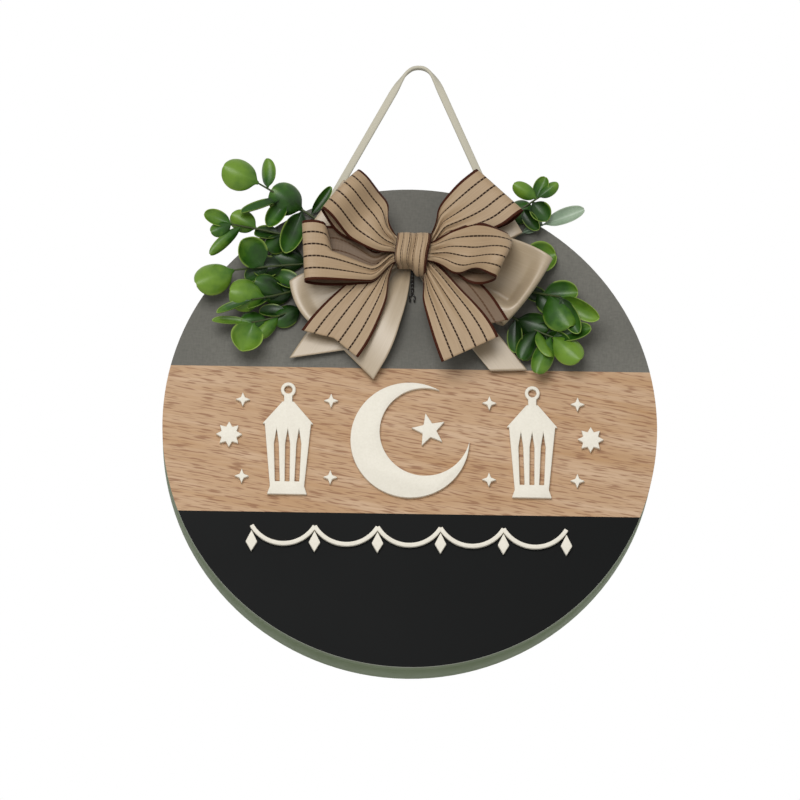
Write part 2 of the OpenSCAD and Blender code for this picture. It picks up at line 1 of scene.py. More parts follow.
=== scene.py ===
"""Round hanging door sign with a ribbon bow, moulded greenery and a cord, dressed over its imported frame."""
import math
from functools import partial

import bmesh
import bpy
import numpy as np
from mathutils import Matrix, Vector


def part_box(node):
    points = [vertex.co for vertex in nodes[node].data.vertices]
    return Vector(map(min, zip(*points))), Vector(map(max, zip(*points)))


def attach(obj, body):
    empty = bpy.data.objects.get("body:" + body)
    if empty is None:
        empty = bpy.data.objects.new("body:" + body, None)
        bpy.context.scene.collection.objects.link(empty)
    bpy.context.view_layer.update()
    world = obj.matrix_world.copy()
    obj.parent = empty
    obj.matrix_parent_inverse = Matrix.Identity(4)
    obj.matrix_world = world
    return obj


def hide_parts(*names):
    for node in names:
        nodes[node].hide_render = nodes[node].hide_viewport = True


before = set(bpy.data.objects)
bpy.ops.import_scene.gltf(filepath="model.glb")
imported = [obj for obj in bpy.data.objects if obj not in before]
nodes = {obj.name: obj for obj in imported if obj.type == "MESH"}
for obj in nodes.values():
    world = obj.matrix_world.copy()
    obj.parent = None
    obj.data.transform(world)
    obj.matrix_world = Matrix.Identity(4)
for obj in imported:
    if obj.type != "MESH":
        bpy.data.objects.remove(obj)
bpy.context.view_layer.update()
scene = bpy.context.scene
scene.view_settings.view_transform = "Standard"
MM = 0.001

# Face coordinates, in millimetres: x to the right, v up from the board's centre, h out from the face
board_low, board_high = (Vector(corner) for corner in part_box("front_board"))
FACE_MIDDLE = (board_low + board_high) / 2
FACE_MIDDLE.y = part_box("oak_face_panel")[0][1]
BOW_UP = 106


def from_face(points):
    points = np.asarray(points, float) * MM
    x, v, h = points[..., 0], points[..., 1], points[..., 2]
    return np.stack((FACE_MIDDLE.x + x, FACE_MIDDLE.y - h, FACE_MIDDLE.z + v), -1)


def from_bow(points):
    return from_face(np.asarray(points, float) + (0, BOW_UP, 0))


# Camera: below the sign, looking up at its face from a distance
CAMERA_BELOW = math.radians(15.5)
CAMERA_ASIDE = math.radians(-1.3)
CAMERA_ROLL = math.radians(0.54)
CAMERA_AWAY = 4.0
PIXELS_PER_RADIAN = 6600
PICTURE = 800
FACE_AT_PIXEL = (410, 426)


def set_up_camera():
    back = Vector((math.sin(CAMERA_ASIDE) * math.cos(CAMERA_BELOW),
                   -math.cos(CAMERA_ASIDE) * math.cos(CAMERA_BELOW), -math.sin(CAMERA_BELOW)))
    level = Vector((0, 0, 1)).cross(back).normalized()
    rise = back.cross(level)
    right = level * math.cos(CAMERA_ROLL) + rise * math.sin(CAMERA_ROLL)
    up = rise * math.cos(CAMERA_ROLL) - level * math.sin(CAMERA_ROLL)
    metres = CAMERA_AWAY / PIXELS_PER_RADIAN
    aim = (FACE_MIDDLE + right * ((PICTURE / 2 - FACE_AT_PIXEL[0]) * metres)
           + up * ((FACE_AT_PIXEL[1] - PICTURE / 2) * metres))
    lens = bpy.data.cameras.new("camera")
    lens.sensor_width = 36
    lens.lens = lens.sensor_width * PIXELS_PER_RADIAN / PICTURE
    lens.clip_end = 100
    camera = bpy.data.objects.new("camera", lens)
    turn = Matrix((right, up, back)).transposed().to_4x4()
    camera.matrix_world = Matrix.Translation(aim + back * CAMERA_AWAY) @ turn
    scene.collection.objects.link(camera)
    scene.camera = camera


set_up_camera()


# Finishes
def colour(code):
    """sRGB hex to linear RGBA."""
    parts = [int(code[k:k + 2], 16) / 255 for k in (1, 3, 5)]
    return [c / 12.92 if c <= 0.04045 else ((c + 0.055) / 1.055) ** 2.4 for c in parts] + [1.0]


def every(size):
    """Texture scale for a pattern that repeats every so many millimetres."""
    return 1 / (size * MM)


def add(tree, kind, sockets=None, **settings):
    """Adds a node with its settings.

    sockets gives its inputs, each a value, a hex colour, another node or one of that node's outputs.
    """
    node = tree.nodes.new(kind)
    for key, value in settings.items():
        setattr(node, key, value)
    for key, value in (sockets or {}).items():
        if isinstance(value, bpy.types.Node):
            value = next(output for output in value.outputs if output.enabled)
        if isinstance(value, bpy.types.NodeSocket):
            tree.links.new(value, node.inputs[key])
        else:
            is_colour = isinstance(value, str) and value.startswith("#")
            node.inputs[key].default_value = colour(value) if is_colour else value
    return node


def new_finish(name):
    finish = bpy.data.materials.new(name)
    finish.use_nodes = True
    finish.node_tree.nodes.clear()
    return finish, partial(add, finish.node_tree)


# The two colour inputs of a Mix node
COLOUR_A, COLOUR_B = 6, 7


def with_cut_edge(put, place, face, edge):
    """A panel's colour: its face in front, and its cut edge round it."""
    outward = put("ShaderNodeSeparateXYZ", {0: place["Normal"]})
    front = put("ShaderNodeMath", {0: outward.outputs["Y"], 1: -0.5}, operation="LESS_THAN")
    return put("ShaderNodeMix", {0: front, COLOUR_A: edge, COLOUR_B: face}, data_type="RGBA")


# Satin paint rolled on a wooden ring: soft highlight, faint stipple, slightly uneven tone
sage_satin_paint, put = new_finish("sage_satin_paint")
spot = put("ShaderNodeTexCoord").outputs["Object"]
drift = put("ShaderNodeTexNoise", {"Vector": spot, "Scale": every(45), "Detail": 3})
stipple = put("ShaderNodeTexNoise", {"Vector": spot, "Scale": every(1.6), "Detail": 2})
tone = put("ShaderNodeMix", {0: drift, COLOUR_A: "#707e60", COLOUR_B: "#7e8b6e"}, data_type="RGBA")
relief = put("ShaderNodeBump", {"Height": stipple, "Strength": 0.12, "Distance": 0.2 * MM})
gloss = put("ShaderNodeMapRange", {"Value": stipple, "To Min": 0.48, "To Max": 0.62})
shader = put("ShaderNodeBsdfPrincipled", {
    "Base Color": tone, "Roughness": gloss, "Specular IOR Level": 0.1, "Normal": relief})
put("ShaderNodeOutputMaterial", {"Surface": shader})

# Printed linen paper on board: matte grey, crossed threads. Threads of 0.4 mm are drawn 1.1 mm wide.
charcoal_linen_print, put = new_finish("charcoal_linen_print")
place = put("ShaderNodeTexCoord").outputs
weft_place = put("ShaderNodeMapping", {"Vector": place["Object"], "Scale": (every(3.5), 1, every(1.1))})
warp_place = put("ShaderNodeMapping", {"Vector": place["Object"], "Scale": (every(1.1), 1, every(3.5))})
weft = put("ShaderNodeTexNoise", {"Vector": weft_place, "Scale": 1, "Detail": 2})
warp = put("ShaderNodeTexNoise", {"Vector": warp_place, "Scale": 1, "Detail": 2})
threads = put("ShaderNodeMath", {0: weft, 1: warp}, operation="ADD")
cloudy = put("ShaderNodeTexNoise", {"Vector": place["Object"], "Scale": every(70), "Detail": 2})
worn = put("ShaderNodeMath", {0: cloudy, 1: threads}, operation="MULTIPLY")
share = put("ShaderNodeMapRange", {"Value": worn, "From Min": 0.25, "From Max": 0.75})
weave = put("ShaderNodeMix", {0: share, COLOUR_A: "#605f59", COLOUR_B: "#74726b"}, data_type="RGBA")
edged = with_cut_edge(put, place, weave, "#aeb3a3")
relief = put("ShaderNodeBump", {"Height": threads, "Strength": 0.25, "Distance": 0.15 * MM})
shader = put("ShaderNodeBsdfPrincipled", {
    "Base Color": edged, "Roughness": 0.72, "Specular IOR Level": 0.3, "Normal": relief})
put("ShaderNodeOutputMaterial", {"Surface": shader})

# Flat-sawn oak veneer, matte: broad pale and tan figure, fine fibres and short dark pores, a little slanted.
# Fibres and pores of 0.3 mm are drawn about 1 mm wide to show.
pale_oak_veneer, put = new_finish("pale_oak_veneer")
spot = put("ShaderNodeTexCoord").outputs["Object"]
GRAIN_SLANT = math.radians(9)
along_grain = put("ShaderNodeMapping", {"Vector": spot, "Rotation": (0, -GRAIN_SLANT, 0)})
figure_place = put("ShaderNodeMapping", {"Vector": along_grain, "Scale": (every(130), 1, every(11))})
fibre_place = put("ShaderNodeMapping", {"Vector": along_grain, "Scale": (every(26), 1, every(1.3))})
pore_place = put("ShaderNodeMapping", {"Vector": along_grain, "Scale": (every(12), 1, every(1.05))})
figure = put("ShaderNodeTexNoise", {"Vector": figure_place, "Scale": 1, "Detail": 3, "Distortion": 0.6})
fibre = put("ShaderNodeTexNoise", {"Vector": fibre_place, "Scale": 1, "Detail": 3})
pore = put("ShaderNodeTexNoise", {"Vector": pore_place, "Scale": 1, "Detail": 1})
broad = put("ShaderNodeMapRange", {"Value": figure, "From Min": 0.3, "From Max": 0.7})
wood = put("ShaderNodeMix", {0: broad, COLOUR_A: "#b48c62", COLOUR_B: "#ceb092"}, data_type="RGBA")
streak = put("ShaderNodeMapRange", {"Value": fibre, "From Min": 0.35, "From Max": 0.7, "To Max": 0.55})
streaked = put("ShaderNodeMix", {0: streak, COLOUR_A: wood, COLOUR_B: "#aa8662"}, data_type="RGBA")
dash = put("ShaderNodeMapRange", {"Value": pore, "From Min": 0.52, "From Max": 0.64, "To Max": 0.72})
pored = put("ShaderNodeMix", {0: dash, COLOUR_A: streaked, COLOUR_B: "#875c3e"}, data_type="RGBA")
relief = put("ShaderNodeBump", {"Height": dash, "Strength": -0.2, "Distance": 0.15 * MM})
shader = put("ShaderNodeBsdfPrincipled", {
    "Base Color": pored, "Roughness": 0.6, "Specular IOR Level": 0.35, "Normal": relief})
put("ShaderNodeOutputMaterial", {"Surface": shader})

# Satin black laminate: near black, broad soft reflection, the pale cut edge shows at the rim
satin_black_laminate, put = new_finish("satin_black_laminate")
place = put("ShaderNodeTexCoord").outputs
orange_peel = put("ShaderNodeTexNoise", {"Vector": place["Object"], "Scale": every(2.2), "Detail": 2})
smear = put("ShaderNodeTexNoise", {"Vector": place["Object"], "Scale": every(60), "Detail": 2})
black = put("ShaderNodeMix", {0: smear, COLOUR_A: "#0d0e0e", COLOUR_B: "#121313"}, data_type="RGBA")
edged = with_cut_edge(put, place, black, "#b9bdae")
gloss = put("ShaderNodeMapRange", {"Value": smear, "To Min": 0.34, "To Max": 0.46})
relief = put("ShaderNodeBump", {"Height": orange_peel, "Strength": 0.06, "Distance": 0.1 * MM})
shader = put("ShaderNodeBsdfPrincipled", {
    "Base Color": edged, "Roughness": gloss, "Specular IOR Level": 0.04, "Normal": relief})
put("ShaderNodeOutputMaterial", {"Surface": shader})

# Laser-cut board painted off-white: matte, faint roller stipple
off_white_paint, put = new_finish("off_white_paint")
spot = put("ShaderNodeTexCoord").outputs["Object"]
stipple = put("ShaderNodeTexNoise", {"Vector": spot, "Scale": every(1.2), "Detail": 3})
tone = put("ShaderNodeMix", {0: stipple, COLOUR_A: "#e2dccd", COLOUR_B: "#f0ebde"}, data_type="RGBA")
relief = put("ShaderNodeBump", {"Height": stipple, "Strength": 0.15, "Distance": 0.15 * MM})
shader = put("ShaderNodeBsdfPrincipled", {
    "Base Color": tone, "Roughness": 0.55, "Specular IOR Level": 0.35, "Normal": relief})
put("ShaderNodeOutputMaterial", {"Surface": shader})

# Flat cotton tape: dull ivory, a little uneven along its fine crosswise yarns, with a soft fuzz at its edges
ivory_cotton_tape, put = new_finish("ivory_cotton_tape")
laid = put("ShaderNodeUVMap", uv_map="lay")
yarn_place = put("ShaderNodeMapping", {
    "Vector": laid, "Rotation": (0, 0, math.radians(30)), "Scale": (4, 9, 1)})
yarn = put("ShaderNodeTexNoise", {"Vector": yarn_place, "Scale": 2, "Detail": 3})
soft = put("ShaderNodeMix", {0: yarn, COLOUR_A: "#bab5a3", COLOUR_B: "#d0cbba"}, data_type="RGBA")
relief = put("ShaderNodeBump", {"Height": yarn, "Strength": 0.3, "Distance": 0.15 * MM})
shader = put("ShaderNodeBsdfPrincipled", {
    "Base Color": soft, "Roughness": 0.8, "Specular IOR Level": 0.25, "Sheen Weight": 0.2,
    "Normal": relief})
put("ShaderNodeOutputMaterial", {"Surface": shader})

# Grosgrain ribbon: dull, cross-ribbed, with woven pinstripes and edges that shine less than the ground.
# Ribs of 0.5 mm are drawn 0.9 mm to show, and the floats along a pinstripe 2.6 mm.
STRIPED_W = 38
RIB = 0.9
PINSTRIPES = 5
PINSTRIPE = 1.1
PINSTRIPE_FLOAT = 2.6
EDGING = 1.7


def woven_grosgrain(name, ground, ground_light, pinstripe, edging):
    finish, put = new_finish(name)
    laid = put("ShaderNodeUVMap", uv_map="weave")
    woven = put("ShaderNodeSeparateXYZ", {0: laid})
    across, along = woven.outputs["X"], woven.outputs["Y"]
    yarn_place = put("ShaderNodeMapping", {"Vector": laid, "Scale": (60, 2.5, 1)})
    yarn = put("ShaderNodeTexNoise", {"Vector": yarn_place, "Scale": 1, "Detail": 2})
    bands = put("ShaderNodeMath", {0: across, 1: PINSTRIPES}, operation="MULTIPLY")
    from_line = put("ShaderNodeMath", {0: bands, 1: 0.5}, operation="PINGPONG")
    line = put("ShaderNodeMath", {
        0: from_line, 1: PINSTRIPE / 2 / STRIPED_W * PINSTRIPES}, operation="LESS_THAN")
    picks = put("ShaderNodeMath", {0: along, 1: STRIPED_W / PINSTRIPE_FLOAT}, operation="MULTIPLY")
    float_at = put("ShaderNodeMath", {0: picks}, operation="FRACT")
    floats = put("ShaderNodeMapRange", {
        "Value": float_at, "From Min": 0.68, "From Max": 0.78, "To Min": 1, "To Max": 0.62})
    inked = put("ShaderNodeMath", {0: line, 1: floats}, operation="MULTIPLY")
    from_edge = put("ShaderNodeMath", {0: across, 1: 0.5}, operation="PINGPONG")
    border = put("ShaderNodeMath", {0: from_edge, 1: EDGING / STRIPED_W}, operation="LESS_THAN")
    ribs = put("ShaderNodeMath", {0: along, 1: 2 * math.pi * STRIPED_W / RIB}, operation="MULTIPLY")
    rib = put("ShaderNodeMath", {0: ribs}, operation="SINE")
    cloth = put("ShaderNodeMix", {0: yarn, COLOUR_A: ground, COLOUR_B: ground_light}, data_type="RGBA")
    lined = put("ShaderNodeMix", {0: inked, COLOUR_A: cloth, COLOUR_B: pinstripe}, data_type="RGBA")
    edged = put("ShaderNodeMix", {0: border, COLOUR_A: lined, COLOUR_B: edging}, data_type="RGBA")
    relief = put("ShaderNodeBump", {"Height": rib, "Strength": 0.25, "Distance": 0.12 * MM})
    dyed = put("ShaderNodeMath", {0: border, 1: inked}, operation="MAXIMUM")
    lustre = put("ShaderNodeMath", {0: dyed, 1: -0.3, 2: 0.35}, operation="MULTIPLY_ADD")
    shader = put("ShaderNodeBsdfPrincipled", {
        "Base Color": edged, "Roughness": 0.5, "Specular IOR Level": lustre, "Sheen Weight": 0.05,
        "Normal": relief})
    put("ShaderNodeOutputMaterial", {"Surface": shader})
    return finish


striped_grosgrain = woven_grosgrain("striped_grosgrain", "#9b8263", "#b2997b", "#2a1b12", "#3f1d10")
# Reverse face: the same ribbon drawn darker, as painted shade inside the loops, on the turned under tail and
# in the band
grosgrain_reverse = woven_grosgrain("grosgrain_reverse", "#65503b", "#755f49", "#5b4433", "#3f1d10")

# Polyester satin ribbon: smooth, with a broad silky highlight. Threads of 0.2 mm are drawn 0.8 mm wide.
champagne_satin, put = new_finish("champagne_satin")
woven = put("ShaderNodeUVMap", uv_map="weave")
warp_place = put("ShaderNodeMapping", {"Vector": woven, "Scale": (62, 3, 1)})
warp = put("ShaderNodeTexNoise", {"Vector": warp_place, "Scale": 1, "Detail": 2})
pale = put("ShaderNodeMix", {0: warp, COLOUR_A: "#a28f74", COLOUR_B: "#b4a389"}, data_type="RGBA")
relief = put("ShaderNodeBump", {"Height": warp, "Strength": 0.08, "Distance": 0.08 * MM})
gloss = put("ShaderNodeMapRange", {"Value": warp, "To Min": 0.4, "To Max": 0.48})
shader = put("ShaderNodeBsdfPrincipled", {
    "Base Color": pale, "Roughness": gloss, "Specular IOR Level": 1.0, "Sheen Weight": 0.1,
    "Sheen Roughness": 0.4, "Normal": relief})
put("ShaderNodeOutputMaterial", {"Surface": shader})


# Moulded polyethylene leaves: waxy gloss, darker towards the stem, a thin rim drawn lighter as painted
# highlight, and tones partly painted shade
def moulded_leaf(name, deep, middle, light, rim, see_through):
    finish, put = new_finish(name)
    spot = put("ShaderNodeTexCoord").outputs["Object"]
    leaf_tone_and_shade, leaf_edge, leaf_tip = (put("ShaderNodeAttribute", attribute_name=name).outputs["Fac"]
                                      for name in ("tone", "edge", "tip"))
    mottle = put("ShaderNodeTexNoise", {"Vector": spot, "Scale": every(7), "Detail": 3})
    wax = put("ShaderNodeTexNoise", {"Vector": spot, "Scale": every(1.5), "Detail": 2})
    mottled = put("ShaderNodeMapRange", {
        "Value": mottle, "From Min": 0.3, "From Max": 0.7, "To Min": -0.15, "To Max": 0.15})
    outer = put("ShaderNodeMapRange", {"Value": leaf_tip, "To Min": -0.25, "To Max": 0.25})
    # Each leaf's tone: partly its own green, partly painted shade, lower for leaves deep in the sprigs by the
    # bow
    drawn = put("ShaderNodeMath", {0: leaf_tone_and_shade, 1: mottled}, operation="ADD")
    toned = put("ShaderNodeMath", {0: drawn, 1: outer}, operation="ADD")
    shade = put("ShaderNodeMapRange", {"Value": toned, "From Max": 0.55})
    bright = put("ShaderNodeMapRange", {"Value": toned, "From Min": 0.45, "From Max": 1})
    dark = put("ShaderNodeMix", {0: shade, COLOUR_A: deep, COLOUR_B: middle}, data_type="RGBA")
    blade = put("ShaderNodeMix", {0: bright, COLOUR_A: dark, COLOUR_B: light}, data_type="RGBA")
    # Painted highlight: the thin rim is drawn lighter, as where light catches it
    lip = put("ShaderNodeMapRange", {
        "Value": leaf_edge, "From Min": 0.86, "From Max": 0.99, "To Max": 0.6})
    leaf = put("ShaderNodeMix", {0: lip, COLOUR_A: blade, COLOUR_B: rim}, data_type="RGBA")
    gloss = put("ShaderNodeMapRange", {"Value": wax, "To Min": 0.26, "To Max": 0.4})
    relief = put("ShaderNodeBump", {"Height": wax, "Strength": 0.12, "Distance": 0.2 * MM})
    shader = put("ShaderNodeBsdfPrincipled", {
        "Base Color": leaf, "Roughness": gloss, "Transmission Weight": see_through, "IOR": 1.5,
        "Specular IOR Level": 0.28, "Normal": relief})
    put("ShaderNodeOutputMaterial", {"Surface": shader})
    return finish


green_moulded_leaf = moulded_leaf("green_moulded_leaf", "#12280a", "#2f5a14", "#6a8c2c", "#93ab4d", 0.0)
pale_moulded_leaf = moulded_leaf("pale_moulded_leaf", "#7f967c", "#94aa90", "#b4c6ae", "#c7d4bd", 0.25)

# Moulded stems of the same plastic: duller, in mottled olive
moulded_stem, put = new_finish("moulded_stem")
spot = put("ShaderNodeTexCoord").outputs["Object"]
fleck = put("ShaderNodeTexNoise", {"Vector": spot, "Scale": every(5), "Detail": 3})
olive = put("ShaderNodeMix", {0: fleck, COLOUR_A: "#22300f", COLOUR_B: "#404b1d"}, data_type="RGBA")
relief = put("ShaderNodeBump", {"Height": fleck, "Strength": 0.2, "Distance": 0.2 * MM})
shader = put("ShaderNodeBsdfPrincipled", {"Base Color": olive, "Roughness": 0.5, "Normal": relief})
put("ShaderNodeOutputMaterial", {"Surface": shader})

# Hot-melt glue that has set: milky, smooth, a little see-through
set_hot_glue, put = new_finish("set_hot_glue")
spot = put("ShaderNodeTexCoord").outputs["Object"]
cloud = put("ShaderNodeTexNoise", {"Vector": spot, "Scale": every(4), "Detail": 2})
milky = put("ShaderNodeMix", {0: cloud, COLOUR_A: "#cfcab8", COLOUR_B: "#e4e0d2"}, data_type="RGBA")
shader = put("ShaderNodeBsdfPrincipled", {
    "Base Color": milky, "Roughness": 0.3, "Transmission Weight": 0.3, "IOR": 1.48})
put("ShaderNodeOutputMaterial", {"Surface": shader})

# Plastic-coated tie wire: black, smooth and shiny
coated_tie_wire, put = new_finish("coated_tie_wire")
spot = put("ShaderNodeTexCoord").outputs["Object"]
scuff = put("ShaderNodeTexNoise", {"Vector": spot, "Scale": every(1.5), "Detail": 2})
coat = put("ShaderNodeMix", {0: scuff, COLOUR_A: "#171513", COLOUR_B: "#2b2723"}, data_type="RGBA")
gloss = put("ShaderNodeMapRange", {"Value": scuff, "To Min": 0.15, "To Max": 0.35})
shader = put("ShaderNodeBsdfPrincipled", {"Base Color": coat, "Roughness": gloss})
put("ShaderNodeOutputMaterial", {"Surface": shader})


# Building pieces
def unit(vectors):
    return vectors / np.linalg.norm(vectors, axis=-1, keepdims=True)


def ease(share):
    share = np.clip(share, 0, 1)
    return share * share * (3 - 2 * share)


def gone_along(line):
    """Length gone at each point of a line, or at each row of a grid on average."""
    step = np.linalg.norm(np.diff(line, axis=0), axis=-1)
    return np.concatenate(([0], np.cumsum(step if step.ndim == 1 else step.mean(1))))


def set_down(mesh, *finishes):
    """Puts a mesh in the scene, smooth and with its finishes."""
    for finish in finishes:
        mesh.materials.append(finish)
    mesh.polygons.foreach_set("use_smooth", [True] * len(mesh.polygons))
    piece = bpy.data.objects.new(mesh.name, mesh)
    scene.collection.objects.link(piece)
    return piece


def mesh_piece(name, points, faces, *finishes):
    mesh = bpy.data.meshes.new(name)
    mesh.from_pydata(np.asarray(points).tolist(), [], [list(map(int, f)) for f in faces])
    return set_down(mesh, *finishes)


def grid_faces(rows, cols, wrap=False, first=0):
    wide = cols if wrap else cols + 1
    i, j = np.meshgrid(np.arange(rows), np.arange(cols), indexing="ij")
    beside = (j + 1) % wide if wrap else j + 1
    corners = (i * wide + j, (i + 1) * wide + j, (i + 1) * wide + beside, i * wide + beside)
    return first + np.stack([c.ravel() for c in corners], -1)


def lay_uv(piece, layer, rows, cols, along, last=1):
    """UV of the first rows x cols faces: U runs from 0 across to last, V along."""
    i, j = np.meshgrid(np.arange(rows), np.arange(cols), indexing="ij")
    u = np.stack([(j + k).ravel() for k in (0, 0, 1, 1)], -1) * last / cols
    v = along[np.stack([(i + k).ravel() for k in (0, 1, 1, 0)], -1)]
    uv = np.zeros((len(piece.data.loops), 2))
    uv[:rows * cols * 4] = np.stack((u, v), -1).reshape(-1, 2)
    piece.data.uv_layers.new(name=layer).data.foreach_set("uv", uv.ravel())


def smooth_line(points, step):
    """Points along a smooth curve through the given ones, evenly spaced."""
    points = np.asarray(points, float)
    ends = np.vstack((2 * points[0] - points[1], points, 2 * points[-1] - points[-2]))
    share = np.linspace(0, 1, 12, endpoint=False)[:, None]
    run = []
    for a, b, c, d in zip(ends, ends[1:], ends[2:], ends[3:]):
        run.append(b + share * (c - a) / 2 + share ** 2 * (2 * a - 5 * b + 4 * c - d) / 2
                   + share ** 3 * (3 * b - a - 3 * c + d) / 2)
    run = np.vstack(run + [points[-1:]])
    gone = gone_along(run)
    marks = np.linspace(0, gone[-1], max(2, round(gone[-1] / step) + 1))
    return np.stack([np.interp(marks, gone, run[:, k]) for k in range(3)], -1)


def sweep(line, radius, sides):
    """Rings of points round a line, without twist."""
    ahead = unit(np.gradient(line, axis=0))
    side = np.cross(ahead[0], (0.3, 0.2, 0.93))
    rings = []
    angle = 2 * math.pi * np.arange(sides) / sides
    for point, way in zip(line, ahead):
        side = unit(side - way * (side @ way))
        other = np.cross(way, side)
        around = np.cos(angle)[:, None] * side + np.sin(angle)[:, None] * other
        rings.append(point + radius * around)
    return np.array(rings)


def tube_mesh(rings, first=0):
    """Points and faces of a capped tube."""
    rows, sides = rings.shape[:2]
    faces = [list(f[::-1]) for f in grid_faces(rows - 1, sides, wrap=True, first=first)]
    start, end = first + rows * sides, first + rows * sides + 1
    last = first + (rows - 1) * sides
    for k in range(sides):
        after = (k + 1) % sides
        faces.append([start, first + after, first + k])
        faces.append([end, last + k, last + after])
    points = np.vstack((rings.reshape(-1, 3), rings[0].mean(0), rings[-1].mean(0)))
    return points, faces


def tubes_piece(name, tubes, finish):
    """One piece from capped tubes, each given by its rings."""
    points, faces = [], []
    for rings in tubes:
        more, sides = tube_mesh(rings, first=sum(len(p) for p in points))
        points.append(more)
        faces += sides
    return mesh_piece(name, np.vstack(points), faces, finish)


def face_outwards(piece):
    """Turns a closed piece's faces outwards."""
    work = bmesh.new()
    work.from_mesh(piece.data)
    bmesh.ops.recalc_face_normals(work, faces=work.faces)
    work.to_mesh(piece.data)
    work.free()


def stand_for(piece, node, body="sign"):
    """Puts a piece in the place of a solid, on its body."""
    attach(piece, body)
    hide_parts(node)


# Hanging cord: a soft flat tape, edge-on at the top of its arch, that turns its face to the front below
CORD_D = 3.6
TAPE_W = 4.8
TAPE_T = 2.2
TAPE_TURN = math.radians(80)
SQUEEZED_T = CORD_D * 0.9
CORD_ROUTE = [
    (-55, -89.8), (-50, -80.5), (-44, -69.3), (-38, -58.1), (-32, -46.9), (-26, -35.7), (-20, -24.5),
    (-15, -15.2), (-11.5, -9), (-8, -4), (-4.2, -0.9), (0, 0), (4.2, -0.9), (7.8, -4), (11, -9),
    (14, -15.4), (19, -26.7), (25, -40.2), (31, -53.8), (37, -67.3), (42, -78.5), (47, -89.8)]
CORD_STEP = 0.9
CORD_SIDES = 28


def tape_tube(name, line, width, thick, face):
    """Woven tape along a line in metres; face is how far its broad side has turned from Y at each point."""
    gone = gone_along(line)
    ahead = unit(np.gradient(line, axis=0))
    broad = unit(np.array((0, 1, 0)) - ahead * ahead[:, 1:2])
    other = np.cross(ahead, broad)
    angle = 2 * math.pi * np.arange(CORD_SIDES) / CORD_SIDES
    c, d = np.cos(angle), np.sin(angle)
    k = (np.abs(c) ** 3 + np.abs(d) ** 3) ** (-1 / 3)
    wide, deep = (width / 2)[:, None] * (c * k), (thick / 2)[:, None] * (d * k)
    turned, square = np.cos(face)[:, None], np.sin(face)[:, None]
    rings = (line[:, None] + (wide * turned - deep * square)[..., None] * broad[:, None]
             + (wide * square + deep * turned)[..., None] * other[:, None])
    piece = tubes_piece(name, [rings], ivory_cotton_tape)
    lay_uv(piece, "lay", len(line) - 1, CORD_SIDES, gone / TAPE_W / MM)
    face_outwards(piece)
    return piece, gone[-1]


cord_line = smooth_line([(x * MM, 0, (z + CORD_D / 2) * MM) for x, z in CORD_ROUTE], CORD_STEP * MM)
down = np.abs(np.linspace(-1, 1, len(cord_line)))
clear_of_hole = ease((1 - down) / 0.07)
tape_width = (CORD_D + (TAPE_W - CORD_D) * clear_of_hole) * MM
tape_thick = (SQUEEZED_T + (TAPE_T - SQUEEZED_T) * clear_of_hole) * MM
cord_over_hook, cord_length = tape_tube("cord_over_hook", cord_line, tape_width, tape_thick,
                                        TAPE_TURN * ease((down - 0.04) / 0.2))
stand_for(cord_over_hook, "hanging_cord", body="cord")

# Stopper knots behind the rim: an overhand knot on the stub that comes through the hole
HOLE_ASIDE = 52
RIM_OUT = 152.2
CORD_ANGLE = math.asin(HOLE_ASIDE / RIM_OUT)
KNOT_IN = 133.6
KNOT_TURN = 1.1
KNOT_TAIL = 11
STRAND_TURN = 0.4


def stopper_knot(name, node, side):
    outward = np.array((side * math.sin(CORD_ANGLE), 0, math.cos(CORD_ANGLE)))
    sideways = np.array((math.cos(CORD_ANGLE), 0, -side * math.sin(CORD_ANGLE)))
    middle = np.array((FACE_MIDDLE.x, 0, FACE_MIDDLE.z))
    around = np.linspace(0, 2 * math.pi, 90)
    loop = np.stack((np.sin(around) + 2 * np.sin(2 * around), np.cos(around) - 2 * np.cos(2 * around),
                     -1.6 * np.sin(3 * around)), -1) * KNOT_TURN
    knot = (middle + outward * KNOT_IN * MM + (loop[:, :1] * sideways + loop[:, 1:2] * (0, 1, 0)
                                               + loop[:, 2:] * outward) * MM)
    stub = [middle + outward * r * MM for r in np.arange(KNOT_IN, RIM_OUT + CORD_D / 2, CORD_STEP)]
    tail = [middle + (outward * (KNOT_IN - r) + sideways * 0.04 * r * r) * MM
            for r in np.arange(0, KNOT_TAIL, CORD_STEP)]
    pieces = []
    # Each strand with its width and thickness, which the knot and the hole squeeze
    for part, line, width, thick in ((name, knot, 3.4, 2.6), ("stub", np.array(stub), 3.5, 3.3),
                                     ("tail", np.array(tail), 3.8, 2.4)):
        all_along = np.ones(len(line))
        strand, _ = tape_tube(part, line, width * MM * all_along, thick * MM * all_along,
                              STRAND_TURN * all_along)
        pieces.append(strand)
    with bpy.context.temp_override(active_object=pieces[0], selected_editable_objects=pieces):
        bpy.ops.object.join()
    stand_for(pieces[0], node)


stopper_knot("tied_knot_left", "cord_knot_left", -1)
stopper_knot("tied_knot_right", "cord_knot_right", 1)

# Board: the flat panels keep their solids; the rim and the cut-outs get softened edges
for node, finish in (("front_board", sage_satin_paint), ("grey_face_panel", charcoal_linen_print),
                     ("oak_face_panel", pale_oak_veneer), ("black_face_panel", satin_black_laminate)):
    for place in nodes[node].material_slots:
        place.material = finish


def softened(name, node, finish, radius):
    """Copy of a solid with its edges eased as by sandpaper, which replaces it."""
    work = bmesh.new()
    work.from_mesh(nodes[node].data)
    bmesh.ops.remove_doubles(work, verts=work.verts, dist=0.002 * MM)
    bmesh.ops.dissolve_limit(work, angle_limit=math.radians(1), verts=work.verts, edges=work.edges)
    mesh = bpy.data.meshes.new(name)
    work.to_mesh(mesh)
    work.free()
    mesh.materials.clear()
    piece = set_down(mesh, finish)
    eased = piece.modifiers.new("eased_edges", "BEVEL")
    eased.width = radius * MM
    eased.segments = 2
    eased.limit_method = "ANGLE"
    eased.angle_limit = math.radians(40)
    eased.harden_normals = True
    stand_for(piece, node)


